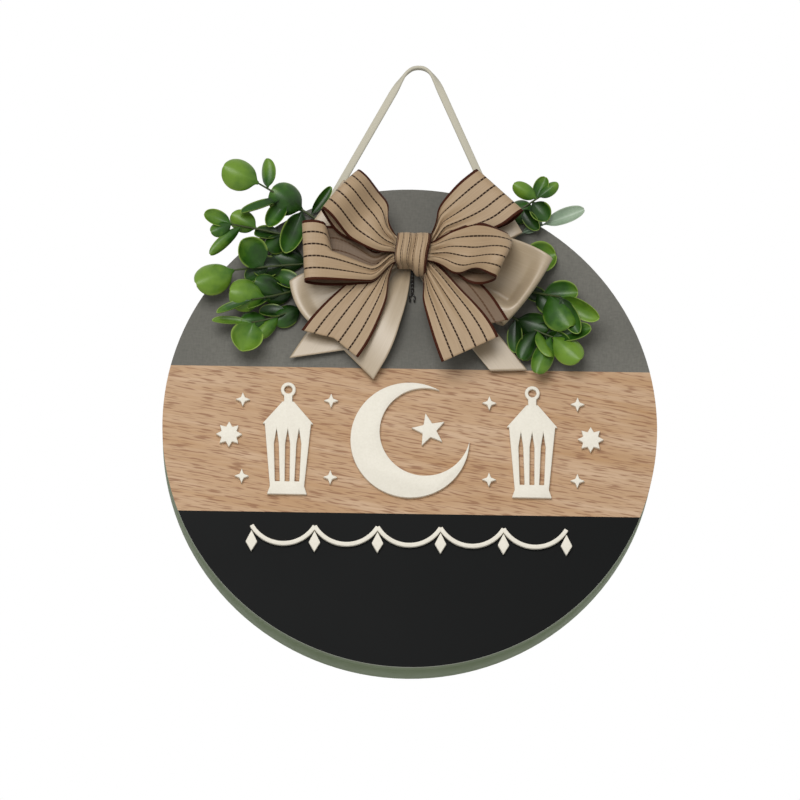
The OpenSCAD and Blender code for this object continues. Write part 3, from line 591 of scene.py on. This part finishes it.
softened("painted_rim", "rim_ring", sage_satin_paint, radius=0.8)
for name, node in (("cut_crescent", "crescent_cutout"), ("cut_stars", "star_cutouts"),
                   ("cut_lantern_left", "lantern_cutout_left"),
                   ("cut_lantern_right", "lantern_cutout_right"),
                   ("cut_festoon", "festoon_cutout"), ("cut_drops", "drop_cutouts")):
    softened(name, node, off_white_paint, radius=0.4)

# Bow: ribbons gathered into a bundle and wrapped by a band
SATIN_W = 50
RIBBON_T = 0.5
KNOT_W = 21
CORE_W = 18
CORE_H = 18
CORE_BACK = 4.3
CORE_FRONT = 22.28
CORE_MIDDLE = (CORE_FRONT + CORE_BACK) / 2
CORE_HALF_OUT = (CORE_FRONT - CORE_BACK) / 2
CORE_SQUARENESS = 3.2
LAYER = 1.55
LAYERS_BEHIND = 0.8
SEAT = 0.25
ROOT_MARGIN = 1.4
STRIPED_GATHER = 0.3
SATIN_GATHER = 0.26
STRIPED_TAIL_UP = 0.3
SATIN_TAIL_UP = -6
SATIN_TAIL_OUT = 0.65
TAIL_FOLD = 0.36
TIE_X = 0.7
TIE_ROOM = 0.8
FOLD_ROOM = 0.8
SECOND_FOLD = 1.8
PLEAT_WAVES = 3.4
ACROSS = 40
LOOP_ROWS = 128
TAIL_ROWS = 56


def layer_out(layer):
    return CORE_BACK + (layer + LAYERS_BEHIND) * LAYER


def root_up(up, gathered):
    return up * (CORE_H / 2 - gathered / 2 - ROOT_MARGIN)


def width_way(start, angle, share):
    """Width direction of a ribbon: as it starts at the bundle, then square to its own direction."""
    square = np.array((-math.sin(angle), math.cos(angle), 0))
    k = ease(share / 0.5)[..., None]
    return unit(np.asarray(start) * (1 - k) + square * k)


def fold_lengthwise(grid, share, edges):
    """Turns the part of a ribbon that doesn't show under the rest, along edge -1, edge 1 or both."""
    normal = unit(np.cross(np.gradient(grid, axis=0), np.gradient(grid, axis=1)))
    columns = np.arange(1, round((grid.shape[1] - 1) * (1 - share) / share / len(edges)) + 1)
    strips = [grid]
    for way in edges:
        room = FOLD_ROOM * (SECOND_FOLD if way > 0 else 1)
        under = (grid - normal * room)[:, columns if way < 0 else -1 - columns]
        strips = [under[:, ::-1]] + strips if way < 0 else strips + [under]
    return np.hstack(strips)


def ribbon_piece(name, node, grid, weave_w, faces_out, thickness=RIBBON_T, turned=False,
                 last=1):
    """A ribbon from its grid of points in bow millimetres, with its weave laid along it.

    weave_w is the width that its weave is drawn for, turned turns its face over, and last is where its
    weave ends across.
    """
    rows, cols = grid.shape[0] - 1, grid.shape[1] - 1
    gone = gone_along(grid)
    faces = grid_faces(rows, cols)
    piece = mesh_piece(name, from_bow(grid).reshape(-1, 3), faces[:, ::-1] if turned else faces, *faces_out)
    lay_uv(piece, "weave", rows, cols, gone / weave_w, last)
    thick = piece.modifiers.new("ribbon_thickness", "SOLIDIFY")
    thick.thickness = thickness * MM
    thick.offset = 0
    thick.material_offset = 1
    stand_for(piece, node)


def ribbon_loop(name, node, width, gather, faces_out, slot, side, up, layer, angle, reach, swell,
                open_front=0.9, open_back=0.9, lean=0, skew=0, tilt=0, bend=0, dip=0, puff=0, mouth=0,
                crest=0, pleat=3, belly=0, corner=0, flap=None, scoop=0, shows=1):
    """Loop out from the bundle on the front and back behind.

    bend bows the whole loop sideways, dip lowers the front before the roll at its end, puff crowns it,
    mouth and crest lift its lower and upper edges, belly and corner round its end, flap folds one part of
    the front behind the rest, scoop hollows it towards its end, and shows is the share of the width that
    isn't folded under along one edge.
    """
    turn = np.linspace(0, 2 * math.pi, LOOP_ROWS + 1)[:, None]
    t = np.linspace(-1, 1, ACROSS + 1)[None, :]
    angle, half, gather = math.radians(angle), width * shows / 2, gather / shows
    q = (1 - np.cos(turn)) / 2
    front = (turn <= math.pi).astype(float)
    opening = np.where(front > 0, open_front, open_back)
    g = gather + (1 - gather) * ease(q / opening)
    shift = lean * (1 - g) * half * ease(q / 0.3)
    crown = np.where(front > 0, ease((q - 0.1) / 0.4), ease((q - 0.55) / 0.45))
    across = t * g * half * (1 - 0.02 * puff * crown) + shift + 4 * bend * q * (1 - q)
    across = across + front * mouth * np.clip(-t, 0, 1) ** 2 * np.exp(-((q - 0.66) / 0.2) ** 2)
    across = across + front * crest * np.clip(t, 0, 1) ** 2 * np.exp(-((q - 0.58) / 0.25) ** 2)
    body = swell / 2 * np.sin(turn) * np.sin(turn / 2) ** 3 + swell / 2 * q * q
    body = body - front * dip * np.sin(math.pi * np.clip((q - 0.25) / 0.62, 0, 1)) ** 2
    ridges = (1 + np.cos(math.pi * PLEAT_WAVES * (t + 0.12 * side))) / 2
    folds = pleat * (1 - g) / (1 - gather) * ease(q / 0.12) * ridges * (0.35 + 0.65 * front)
    out = (body + LAYER / 2 * np.cos(turn / 2) + math.sin(math.radians(tilt)) * q * t * half + folds
           + puff * crown * (1 - t * t))
    if scoop:
        inner = np.clip((q - 0.3) / 0.55, 0, 1) * (1 - ease((q - 0.85) / 0.13))
        lower = np.clip((0.95 - side * t) / 1.3, 0, 1) * (1 - ease((-0.35 - side * t) / 0.4))
        out = out - front * scoop * inner * lower
    if flap:
        crease, hand, shut, opened, depth = flap
        folded = front * (1 - ease((q - shut) / (opened - shut)))
        beyond = np.clip(hand * (t - crease), 0, None) * g * half
        tucked = crease * g * half + shift + hand * beyond * np.cos(math.pi * folded)
        across = np.where(beyond > 0, tucked, across)
        behind = folded * np.clip(beyond / 1.5, 0, 1) * (1 + folds)
        out = out - depth * beyond * np.sin(math.pi * folded) - behind
    run = q * (reach + t * half * math.tan(math.radians(skew)) + belly * (1 - t * t)
               - corner * np.clip(t, 0, 1) ** 3)
    root = np.array((side * (CORE_W / 2 + SEAT), root_up(up, width * shows * gather),
                     layer_out(layer + 0.5)))
    upright = (0, math.copysign(1, math.cos(angle)), 0)
    way = np.array((math.cos(angle), math.sin(angle), 0))
    grid = (root + run[..., None] * way + across[..., None] * width_way(upright, angle, q * np.ones_like(t))
            + out[..., None] * (0, 0, 1))
    if shows < 1:
        grid = fold_lengthwise(grid, shows, (-1,))
    ribbon_piece(name, node, grid, width, faces_out)


def ribbon_tail(name, node, width, gather, faces_out, slot, root, start, angle, reach, lift,
                opening=0.6, fan=1, notch=6, skew=0, pleat=2, lean=0, rise=0, shows=1):
    """Tail from under the knot, fanning out to its width, with a V cut of the given depth in its end.

    lean leads its gathered part to one side, rise lifts its right part off the board on the way down, and
    shows is the share of the width that isn't folded under along its edges.
    """
    s = np.linspace(0, 1, TAIL_ROWS + 1)[:, None]
    t = np.linspace(-1, 1, ACROSS + 1)[None, :]
    angle, half, gather = math.radians(angle), width * shows / 2, gather / shows
    k = np.clip(s / opening, 0, 1)
    g = gather + (1 - gather) * (1.5 * k - 0.5 * k ** 3) ** fan
    run = s * (reach - notch * (1 - np.abs(t)) + t * half * math.tan(math.radians(skew)))
    ridges = (1 + np.cos(math.pi * PLEAT_WAVES * t)) / 2
    out = lift * ease(s) + pleat * (1 - g) / (1 - gather) * ease(s / 0.1) * ridges
    out = out + rise * np.sin(math.pi * s) * ease((t + 0.6) / 1.2)
    across = t * g * half
    aside = lean * (1 - g) * half * ease((s + 0.02) / 0.2) * np.ones_like(t)
    way = np.array((math.cos(angle), math.sin(angle), 0))
    cross = np.array((-math.sin(angle), math.cos(angle), 0))
    grid = (np.asarray(root) + run[..., None] * way + aside[..., None] * cross
            + across[..., None] * width_way(start, angle, s * np.ones_like(t)) + out[..., None] * (0, 0, 1))
    if shows < 1:
        grid = fold_lengthwise(grid, shows, (-1, 1))
    ribbon_piece(name, node, grid, width, faces_out)


STRIPED = dict(width=STRIPED_W, gather=STRIPED_GATHER, faces_out=(striped_grosgrain, striped_grosgrain),
               slot="striped_ribbon")
# The loops' inner faces and the under tail's turned face wear the darker reverse: painted shade
STRIPED_SHADED_INSIDE = dict(STRIPED, faces_out=(striped_grosgrain, grosgrain_reverse))
STRIPED_TURNED = dict(STRIPED, faces_out=(grosgrain_reverse, striped_grosgrain))
SATIN = dict(width=SATIN_W, gather=SATIN_GATHER, faces_out=(champagne_satin, champagne_satin),
             slot="satin_ribbon")
# Layers of the bundle that the ribbons come from, counted from the board
FRONT_LOOPS, BACK_LOOPS, STRIPED_TAILS, UNDER_TAIL, SATIN_UPPER, SATIN_LOWER = 9, 7, 6, 5, 3, 1

ribbon_loop("upper_left_striped_loop", "striped_loop_upper_left", **STRIPED, side=-1, up=1,
            layer=FRONT_LOOPS, angle=139, reach=47, swell=26, open_front=0.55, open_back=0.8, lean=0.25,
            dip=6, puff=6)
ribbon_loop("lower_left_striped_loop", "striped_loop_lower_left", **STRIPED_SHADED_INSIDE, side=-1, up=-1,
            layer=BACK_LOOPS, angle=183, reach=57, swell=20, open_back=0.7, lean=0.9,
            flap=(-0.05, -1, 0.6, 0.78, 0.45))
ribbon_loop("upper_right_striped_loop", "striped_loop_upper_right", **STRIPED, side=1, up=1,
            layer=BACK_LOOPS, angle=38.7, reach=56, swell=15, open_front=0.8, lean=0.5, skew=-9, pleat=3.4)
ribbon_loop("lower_right_striped_loop", "striped_loop_lower_right", **STRIPED_SHADED_INSIDE, side=1, up=-1,
            layer=FRONT_LOOPS, angle=-8, reach=48, swell=25, open_front=0.55, lean=0.2, skew=14, tilt=-14,
            dip=5, puff=9, mouth=6, crest=7, corner=6)
ribbon_loop("upper_left_satin_loop", "satin_loop_upper_left", **SATIN, side=-1, up=1, layer=SATIN_UPPER,
            angle=146, reach=52, swell=5, shows=0.72)
ribbon_loop("lower_left_satin_loop", "satin_loop_lower_left", **SATIN, side=-1, up=-1, layer=SATIN_LOWER,
            angle=211, reach=65, swell=8, open_front=0.95, shows=0.72, belly=4, scoop=4)
ribbon_loop("upper_right_satin_loop", "satin_loop_upper_right", **SATIN, side=1, up=1, layer=SATIN_UPPER,
            angle=31, reach=56, swell=4, lean=0.6, shows=0.76)
ribbon_loop("lower_right_satin_loop", "satin_loop_lower_right", **SATIN, side=1, up=-1, layer=SATIN_LOWER,
            angle=-22, reach=66, swell=23, open_front=0.6, lean=-0.4, bend=4, skew=15, tilt=18, shows=0.92,
            belly=2, scoop=12.5)


def side_root(side, layer):
    up = root_up(STRIPED_TAIL_UP, STRIPED_W * STRIPED_GATHER)
    return (side * (CORE_W / 2 + SEAT), up, layer_out(layer))


def under_root(side):
    aside = SATIN_W * SATIN_GATHER / 2 + TIE_ROOM + SEAT
    return (TIE_X + side * aside, SATIN_TAIL_UP, SATIN_TAIL_OUT)


ribbon_tail("left_striped_tail", "striped_tail_left", **STRIPED, root=side_root(-1, STRIPED_TAILS),
            start=(0, -1, 0), angle=236, reach=72, lift=-0.6, opening=0.95, fan=1.4, notch=4.5, skew=-8)
ribbon_tail("right_striped_tail", "striped_tail_right", **STRIPED, root=side_root(1, STRIPED_TAILS),
            start=(0, 1, 0), angle=-68, reach=69.5, lift=9, opening=1, fan=1.5, notch=0, skew=-4, pleat=3,
            lean=-0.42)
ribbon_tail("under_striped_tail", "striped_tail_under", **STRIPED_TURNED, root=side_root(1, UNDER_TAIL),
            start=(0, 1, 0), angle=-59, reach=64, lift=9, opening=0.8)
ribbon_tail("left_satin_tail", "satin_tail_left", **SATIN, root=under_root(-1), start=(1, 0, 0),
            angle=238, reach=78, lift=4.4, opening=0.85, notch=14, skew=-18, pleat=0.5, rise=8)
ribbon_tail("right_satin_tail", "satin_tail_right", **SATIN, root=under_root(1), start=(1, 0, 0),
            angle=-52, reach=83, lift=4.4, notch=0, skew=36, shows=TAIL_FOLD)


def rounded_box(angle, half_v, half_h, middle, squareness):
    """Outline of the bundle, or of what goes round it, by angle: v and h."""
    c, s = np.cos(angle), np.sin(angle)
    k = (np.abs(c) ** squareness + np.abs(s) ** squareness) ** (-1 / squareness)
    return half_v * s * k, middle + half_h * c * k


# Bundle of gathered ribbon in the band, with the edges of its layers showing as ridges
def gathered_bundle():
    rows, around = 24, 160
    x = np.linspace(-CORE_W / 2, CORE_W / 2, rows + 1)[:, None]
    angle = 2 * math.pi * np.arange(around)[None, :] / around
    waist = 1 - 0.1 * np.exp(-(x / 2.2) ** 2)
    ridge = 1 - 0.03 * (1 + np.cos(22 * angle + 0.6 * np.sin(3 * angle)))
    v, h = rounded_box(angle, CORE_H / 2, CORE_HALF_OUT, 0, CORE_SQUARENESS)
    rings = np.stack((x * np.ones_like(v), v * waist * ridge, CORE_MIDDLE + h * waist * ridge), -1)
    piece = tubes_piece("gathered_bundle", [from_bow(rings)], striped_grosgrain)
    lay_uv(piece, "weave", rows, around, np.linspace(0, CORE_W / STRIPED_W, rows + 1))
    face_outwards(piece)
    stand_for(piece, "ribbon_core")


gathered_bundle()


# Band: a twisted strip round the bundle, open behind, that bulges in two lobes with a fine ripple on them
BAND_WRAP = math.radians(160)
BAND_BACK = 3.65
BAND_FRONT = 23.53
BAND_T = 0.8
BAND_LOBE = 3.8
BAND_RIPPLE = 0.3
BAND_SQUARENESS = 3.8


def wrapped_band():
    rows, cols = 96, 36
    angle = np.linspace(-BAND_WRAP, BAND_WRAP, rows + 1)[:, None]
    t = np.linspace(-1, 1, cols + 1)[None, :]
    facing = np.clip(np.cos(angle), 0, 1)
    v, h = rounded_box(angle, CORE_H / 2 + SEAT + BAND_T, (BAND_FRONT - BAND_BACK) / 2,
                       (BAND_FRONT + BAND_BACK) / 2, BAND_SQUARENESS)
    halves = np.clip(1 - ((np.abs(t - 0.03) - 0.5) / 0.5) ** 2, 0, 1)
    ripple = BAND_LOBE * halves ** 0.5 + BAND_RIPPLE * np.cos(2 * math.pi * 4.5 * t + 1.5 * np.sin(angle))
    sag = (1.5 - 6 * ease((t + 0.1) / 0.5)) * np.clip(-np.sin(angle), 0, 1) ** 2
    width = KNOT_W / 2 * (0.86 + 0.1 * facing + 0.04 * np.sin(angle))
    grid = np.stack((t * width + 2 * np.sin(angle) * facing, v + sag, h + ripple * facing), -1)
    # The band's other face wears the darker reverse: painted shade
    ribbon_piece("wrapped_band", "bow_knot", grid, STRIPED_W, (striped_grosgrain, grosgrain_reverse),
                 thickness=BAND_T, turned=True, last=1.04)


wrapped_band()


# Tie wire: two turns in the bundle's waist, and its two ends twisted together, led down and spread
WIRE_R = 0.55
WIRE_SIDES = 10
WIRE_SUNK = 0.9
TIE_TURNS_W = 1.8
TIE_DOWN = 28
TIE_SPREAD_FROM = 20
TIE_PITCH = 5


def twisted_tie():
    angle = np.linspace(0, 4 * math.pi, 120)
    v, h = rounded_box(angle, CORE_H / 2 - WIRE_SUNK, CORE_HALF_OUT - WIRE_SUNK, CORE_MIDDLE,
                       CORE_SQUARENESS)
    lines = [np.stack((TIE_TURNS_W * (angle / angle[-1] - 0.5), v, h), -1)]
    down = np.linspace(0, TIE_DOWN, 110)
    for phase in (0, math.pi):
        twist = 2 * math.pi * down / TIE_PITCH + phase
        spread = np.clip(down - TIE_SPREAD_FROM, 0, None) * 0.22 * math.copysign(1, math.cos(phase))
        lead = np.clip((1.6 - down) / 1.6, 0, 1) * 3
        aside, out = TIE_X + 0.42 * np.cos(twist) + spread, 1.05 + lead + 0.38 * np.sin(twist)
        lines.append(np.stack((aside, -down, out), -1))
    tubes = [sweep(from_bow(line), WIRE_R * MM, WIRE_SIDES) for line in lines]
    piece = tubes_piece("twisted_tie", tubes, coated_tie_wire)
    face_outwards(piece)
    stand_for(piece, "twist_tie")


twisted_tie()


# Glue: three set blobs, round and a little uneven, one for the bow and one for each side's sprigs
PAD_R = 8
PAD_X = 26
PAD_LIFT = -3
GLUE_H = 2.9


def glue_blobs():
    angle = 2 * math.pi * np.arange(40) / 40
    out = np.linspace(0.06, 1, 12)[:, None]
    blobs = []
    for x, v, lumps in ((-6, 7, 0.4), (-PAD_X, PAD_LIFT, 1.7), (PAD_X, PAD_LIFT, 2.9)):
        uneven = 0.94 + 0.05 * np.sin(3 * angle + lumps) + 0.02 * np.sin(7 * angle + 2 * lumps)
        r = out * (PAD_R * uneven)[None, :]
        h = GLUE_H * (1 - out ** 3.2) + 0.1 + 0 * r
        blobs.append(from_bow(np.stack((x + r * np.cos(angle), v + r * np.sin(angle), h), -1)))
    piece = tubes_piece("glue_blobs", blobs, set_hot_glue)
    face_outwards(piece)
    stand_for(piece, "glue_pads")


glue_blobs()

# Greenery, in bow millimetres and degrees. A sprig is (side, angle at the glue, tip, stem's bow, leaves),
# and a leaf is (share of the stem, angle, length, width, tilt, roll, tone). Tone is partly the leaf's own
# green and partly painted shade, mostly low near the bow.
STEM_D = 2
STEM_RISE = 2.5
STEM_STEPS = 22
LEAF_CUP = 0.26
LEAF_MIDDLE = 0.56
LEAF_T = 0.035
SPRIGS = {
    "left_sprig_top": (-1, 128, (-94, 42, 14), 3, [
        (1, 156, 24, 20, 8, 180, 0.85), (0.91, 92, 19, 10, 5, 150, 0.6),
        (0.57, 148, 23, 21, 12, 180, 0.3), (0.49, 56, 22, 6.5, 4, 15, 0.2),
        (0.76, 206, 30, 9, 17, 40, 0.3), (0.73, 238, 21, 11, 6, 0, 0.3),
        (0.57, 250, 31, 14, 9, 0, 0.22)]),
    "left_sprig_upper": (-1, 155, (-110, 16, 13), 3, [
        (1, 160, 18, 10, 8, 0, 0.6), (1, 204, 14, 10, 6, 180, 0.4), (0.92, 225, 27, 8, 4, 150, 0.6),
        (0.8, 152, 18, 14, 4, 165, 0.75), (0.54, 216, 18, 13, 20, 180, 0.08),
        (0.6, 182, 17, 12, 8, 30, 0.12)]),
    "left_sprig_middle": (-1, 180, (-108, -13, 13), 2, [
        (1, 205, 26, 20, 10, 180, 0.85), (0.76, 134, 22, 19, 30, 0, 0.4),
        (0.41, 164, 22, 17, 2, 180, 0.05), (0.59, 190, 19, 15, -2, 10, 0.08),
        (0.72, 211, 16, 12, -4, 20, 0.15)]),
    "left_sprig_lower": (-1, 205, (-97, -33, 18), -1, [
        (0.88, 174, 22, 21, 12, 180, 0.8), (1, 203, 23, 8, 3, 40, 0.4), (0.51, 159, 20, 15, 2, 30, 0.35),
        (0.69, 162, 20, 16, 16, 180, 0.1), (0.6, 195, 18, 14, 3, 160, 0.1),
        (0.83, 214, 16, 10, 14, 40, 0.3)]),
    "left_sprig_bottom": (-1, 232, (-97, -46, 13), -4, [
        (0.98, 249, 21, 20, 12, 0, 0.75), (0.75, 231, 19, 9, 8, 160, 0.65), (1, 177, 24, 7, -2, 30, 0.75),
        (0.55, 211, 19, 14, 4, 180, 0.15), (0.86, 186, 16, 12, 8, 180, 0.3),
        (0.66, 180, 18, 11, 3, 30, 0.12)]),
    "right_sprig_top": (1, 52, (77, 37, 10), 2, [
        (0.98, 150, 17, 10, 8, 170, 0.75), (0.95, 66, 16, 9, 6, 0, 0.5), (1, 38, 15, 8, 5, 180, 0.55),
        (0.57, 32, 18, 15, 6, 180, 0.3), (0.92, -55, 16, 13, 10, 0, 0.2),
        (0.78, -54, 18, 9, 12, 30, 0.12)]),
    "right_sprig_pale": (1, 28, (80, 21, 6), 1, [
        (1, 21, 27, 10, 5, 0, 0.6), (0.73, 30, 14, 6, 4, 30, 0.4)]),
    "right_sprig_middle": (1, 2, (68, -3, 3.8), 1, [
        (0.97, 16, 22, 20, 0, 0, 0.6)]),
    "right_sprig_lower": (1, -25, (90, -28, 18), -1, [
        (0.88, -59, 26, 22, 12, 180, 0.45), (0.81, 2, 22, 15, 6, 0, 0.4), (1, -32, 28, 12, 8, 40, 0.8),
        (0.59, -22, 17, 10, 2, 0, 0.1), (0.75, -41, 18, 14, 4, 170, 0.15),
        (1, -64, 26, 11, 2, 20, 0.25)]),
    "right_sprig_bottom": (1, -52, (86, -52, 12), -4, [
        (1, 12, 24, 11, 12, 0, 0.3), (1, -43, 23, 17, 10, 180, 0.9), (0.83, -67, 22, 10, 22, 140, 0.7),
        (0.6, -19, 21, 17, 10, 180, 0.1), (0.59, -90, 22, 10, 4, 20, 0.08),
        (0.98, -110, 26, 13, 6, 180, 0.55), (0.78, -16, 19, 14, 4, 10, 0.15),
        (0.82, -116, 21, 13, 2, 170, 0.12), (0.91, -28, 18, 12, 6, 20, 0.25)]),
}


def moulded_leaf_shape():
    """One leaf, unit long along X and unit wide along Y, cupped, with a raised lip and a sunk rib."""
    rows, cols = 18, 12
    s = np.linspace(0, 1, rows + 1)[:, None] ** 0.9
    t = np.linspace(-1, 1, cols + 1)[None, :]
    blade = np.sqrt(np.clip(1 - ((s - LEAF_MIDDLE) / np.where(s < LEAF_MIDDLE, 0.47, 0.442)) ** 2, 0, 1))
    share = np.maximum(blade, 0.1)
    lip = ease((np.abs(t) - 0.72) / 0.28) * ease((s - 0.2) / 0.2)
    spoon = t * t * share + 1.4 * ((s - LEAF_MIDDLE) ** 2 - LEAF_MIDDLE ** 2)
    height = LEAF_CUP * spoon + 0.03 * lip - 0.02 * np.exp(-(t / 0.12) ** 2) * ease(s / 0.2) * (1 - s)
    points = np.stack((s * np.ones_like(t), t * share / 2, height), -1)
    piece = mesh_piece("moulded_leaf_shape", points.reshape(-1, 3), grid_faces(rows, cols))
    edge = np.maximum(np.abs(t) * ease((s - 0.15) / 0.2), ease((s - 0.86) / 0.14))
    for name, value in (("edge", edge), ("tip", s * np.ones_like(t))):
        piece.data.attributes.new(name, "FLOAT", "POINT").data.foreach_set("value", value.ravel())
    thick = piece.modifiers.new("leaf_thickness", "SOLIDIFY")
    thick.thickness = LEAF_T
    thick.offset = 0
    rounder = piece.modifiers.new("rounded", "SUBSURF")
    rounder.levels = rounder.render_levels = 1
    return piece


def leaves_on_stem():
    """Geometry Nodes tree: a tapering stem along the edges, and a leaf at each loose point."""
    tree = bpy.data.node_groups.new("leaves_on_stem", "GeometryNodeTree")
    put = partial(add, tree)
    face = tree.interface
    face.new_socket("Sprig", in_out="INPUT", socket_type="NodeSocketGeometry")
    inputs = {}
    for name, kind in (("Leaf", "Object"), ("Stem radius", "Float"), ("Leaf finish", "Material"),
                       ("Stem finish", "Material")):
        inputs[name] = face.new_socket(name, in_out="INPUT", socket_type="NodeSocket" + kind).identifier
    face.new_socket("Sprig", in_out="OUTPUT", socket_type="NodeSocketGeometry")
    given = put("NodeGroupInput").outputs
    is_leaf = put("GeometryNodeInputNamedAttribute", {"Name": "is_leaf"}, data_type="BOOLEAN")
    turn = put("GeometryNodeInputNamedAttribute", {"Name": "turn"}, data_type="FLOAT_VECTOR")
    size = put("GeometryNodeInputNamedAttribute", {"Name": "size"}, data_type="FLOAT_VECTOR")
    parts = put("GeometryNodeSeparateGeometry", {"Geometry": given["Sprig"], "Selection": is_leaf})
    shape = put("GeometryNodeObjectInfo", {"Object": given["Leaf"]})
    set_out = put("GeometryNodeInstanceOnPoints", {
        "Points": parts.outputs["Selection"], "Instance": shape.outputs["Geometry"], "Rotation": turn,
        "Scale": size})
    leaves = put("GeometryNodeRealizeInstances", {"Geometry": set_out})
    green = put("GeometryNodeSetMaterial", {"Geometry": leaves, "Material": given["Leaf finish"]})
    line = put("GeometryNodeMeshToCurve", {"Mesh": parts.outputs["Inverted"]})
    along = put("GeometryNodeSplineParameter")
    taper = put("ShaderNodeMapRange", {"Value": along.outputs["Factor"], "To Min": 1, "To Max": 0.55})
    ring = put("GeometryNodeCurvePrimitiveCircle", {"Resolution": 12, "Radius": given["Stem radius"]})
    rod = put("GeometryNodeCurveToMesh", {
        "Curve": line, "Profile Curve": ring, "Scale": taper, "Fill Caps": True})
    stem = put("GeometryNodeSetMaterial", {"Geometry": rod, "Material": given["Stem finish"]})
    both = put("GeometryNodeJoinGeometry")
    for part in (green, stem):
        tree.links.new(part.outputs[0], both.inputs[0])
    put("NodeGroupOutput", {0: both})
    return tree, inputs


def stem_points(side, fan, tip, bow, shares):
    fan = math.radians(fan)
    off = PAD_R + SEAT
    foot = np.array((side * PAD_X + off * math.cos(fan), PAD_LIFT + off * math.sin(fan), STEM_D / 2 + SEAT))
    f = np.asarray(shares, float)[:, None]
    climb = tip[2] - foot[2]
    return (foot + (np.array(tip) - foot) * f + 4 * bow * f * (1 - f) * (0, 1, 0)
            + climb * (f ** STEM_RISE - f) * (0, 0, 1))


def leaf_turn(angle, tilt, roll):
    """Turn of a leaf, as Euler angles in the frame, from its angle, tilt and roll on the bow."""
    angle, tilt, roll = (math.radians(k) for k in (angle, tilt, roll))
    along = np.array((math.cos(angle) * math.cos(tilt), math.sin(angle) * math.cos(tilt), math.sin(tilt)))
    flat = np.array((-math.sin(angle), math.cos(angle), 0))
    across = math.cos(roll) * flat + math.sin(roll) * np.cross(along, flat)
    axes = (along, across, np.cross(along, across))
    return Matrix([(a[0], -a[2], a[1]) for a in axes]).transposed().to_euler()


leaf_shape = moulded_leaf_shape()
sprig_tree, sprig_inputs = leaves_on_stem()
for node, (side, fan, tip, bow, leaves) in SPRIGS.items():
    pale = "pale" in node
    shares, angles, lengths, widths, tilts, rolls, tones = zip(*leaves)
    line = from_bow(stem_points(side, fan, tip, bow, np.linspace(0, 1, STEM_STEPS + 1)))
    bases = from_bow(stem_points(side, fan, tip, bow, shares))
    mesh = bpy.data.meshes.new(node + "_leaves")
    mesh.from_pydata(np.vstack((line, bases)).tolist(), [(k, k + 1) for k in range(STEM_STEPS)], [])
    blank = [(0.0, 0.0, 0.0)] * len(line)
    turns = blank + [tuple(leaf_turn(*turn)) for turn in zip(angles, tilts, rolls)]
    sizes = blank + [(length * MM, width * MM, width * MM) for length, width in zip(lengths, widths)]
    leafy = [False] * len(line) + [True] * len(leaves)
    toned = [0.0] * len(line) + list(tones)
    for name, kind, field, values in (("is_leaf", "BOOLEAN", "value", leafy),
                                      ("turn", "FLOAT_VECTOR", "vector", np.ravel(turns)),
                                      ("size", "FLOAT_VECTOR", "vector", np.ravel(sizes)),
                                      ("tone", "FLOAT", "value", toned)):
        mesh.attributes.new(name, kind, "POINT").data.foreach_set(field, values)
    sprig = set_down(mesh)
    grown = sprig.modifiers.new("leaves_on_stem", "NODES")
    grown.node_group = sprig_tree
    grown[sprig_inputs["Leaf"]] = leaf_shape
    grown[sprig_inputs["Stem radius"]] = STEM_D / 2 * MM
    grown[sprig_inputs["Leaf finish"]] = pale_moulded_leaf if pale else green_moulded_leaf
    grown[sprig_inputs["Stem finish"]] = pale_moulded_leaf if pale else moulded_stem
    plain = bpy.data.meshes.new_from_object(sprig.evaluated_get(bpy.context.evaluated_depsgraph_get()))
    sprig.modifiers.clear()
    sprig.data = plain
    plain.polygons.foreach_set("use_smooth", [True] * len(plain.polygons))
    stand_for(sprig, node)
bpy.data.objects.remove(leaf_shape)

# Studio: pale floor far below, a soft lamp, and a white background that only the camera and reflections see
FLOOR_Z = -1.75
FLOOR_HALF = 6
FLOOR_GLOW = 0.48


def seen_ray(put):
    """1 where the camera looks, straight or by a mirror or glass, and 0 where light is gathered."""
    ray = put("ShaderNodeLightPath").outputs
    seen = put("ShaderNodeMath", {0: ray["Is Camera Ray"], 1: ray["Is Glossy Ray"]}, operation="MAXIMUM")
    return put("ShaderNodeMath", {0: seen, 1: ray["Is Transmission Ray"]}, operation="MAXIMUM")


# Floor paint: near white, with a glow that only the camera and reflections see, so that it lights nothing
pale_floor_paint, put = new_finish("pale_floor_paint")
spot = put("ShaderNodeTexCoord").outputs["Object"]
haze = put("ShaderNodeTexNoise", {"Vector": spot, "Scale": 2})
pale = put("ShaderNodeMix", {0: haze, COLOUR_A: "#e6e6e4", COLOUR_B: "#efefed"}, data_type="RGBA")
glow = put("ShaderNodeMath", {0: seen_ray(put), 1: FLOOR_GLOW}, operation="MULTIPLY")
shader = put("ShaderNodeBsdfPrincipled", {
    "Base Color": pale, "Roughness": 0.8, "Emission Color": pale, "Emission Strength": glow})
put("ShaderNodeOutputMaterial", {"Surface": shader})
corners = [(FLOOR_HALF * x, FLOOR_HALF * y, FLOOR_Z) for x, y in ((-1, -1), (1, -1), (1, 1), (-1, 1))]
floor = mesh_piece("floor", corners, [(0, 1, 2, 3)], pale_floor_paint)


def soft_lamp(name, place, power, size):
    light = bpy.data.lights.new(name, "AREA")
    light.energy = power
    light.size = size
    lamp = bpy.data.objects.new(name, light)
    lamp.location = place
    lamp.rotation_euler = (FACE_MIDDLE - Vector(place)).to_track_quat("-Z", "Y").to_euler()
    scene.collection.objects.link(lamp)


soft_lamp("front_lamp", place=(-0.45, -2.2, 0.3), power=34, size=1.2)

world = bpy.data.worlds.new("studio")
world.use_nodes = True
world.node_tree.nodes.clear()
put = partial(add, world.node_tree)
room = put("ShaderNodeBackground", {"Color": "#fdfcfa", "Strength": 0.4})
white = put("ShaderNodeBackground", {"Color": (1, 1, 1, 1), "Strength": 1.0})
both = put("ShaderNodeMixShader", {0: seen_ray(put), 1: room, 2: white})
put("ShaderNodeOutputWorld", {"Surface": both})
scene.world = world

bpy.context.view_layer.update()
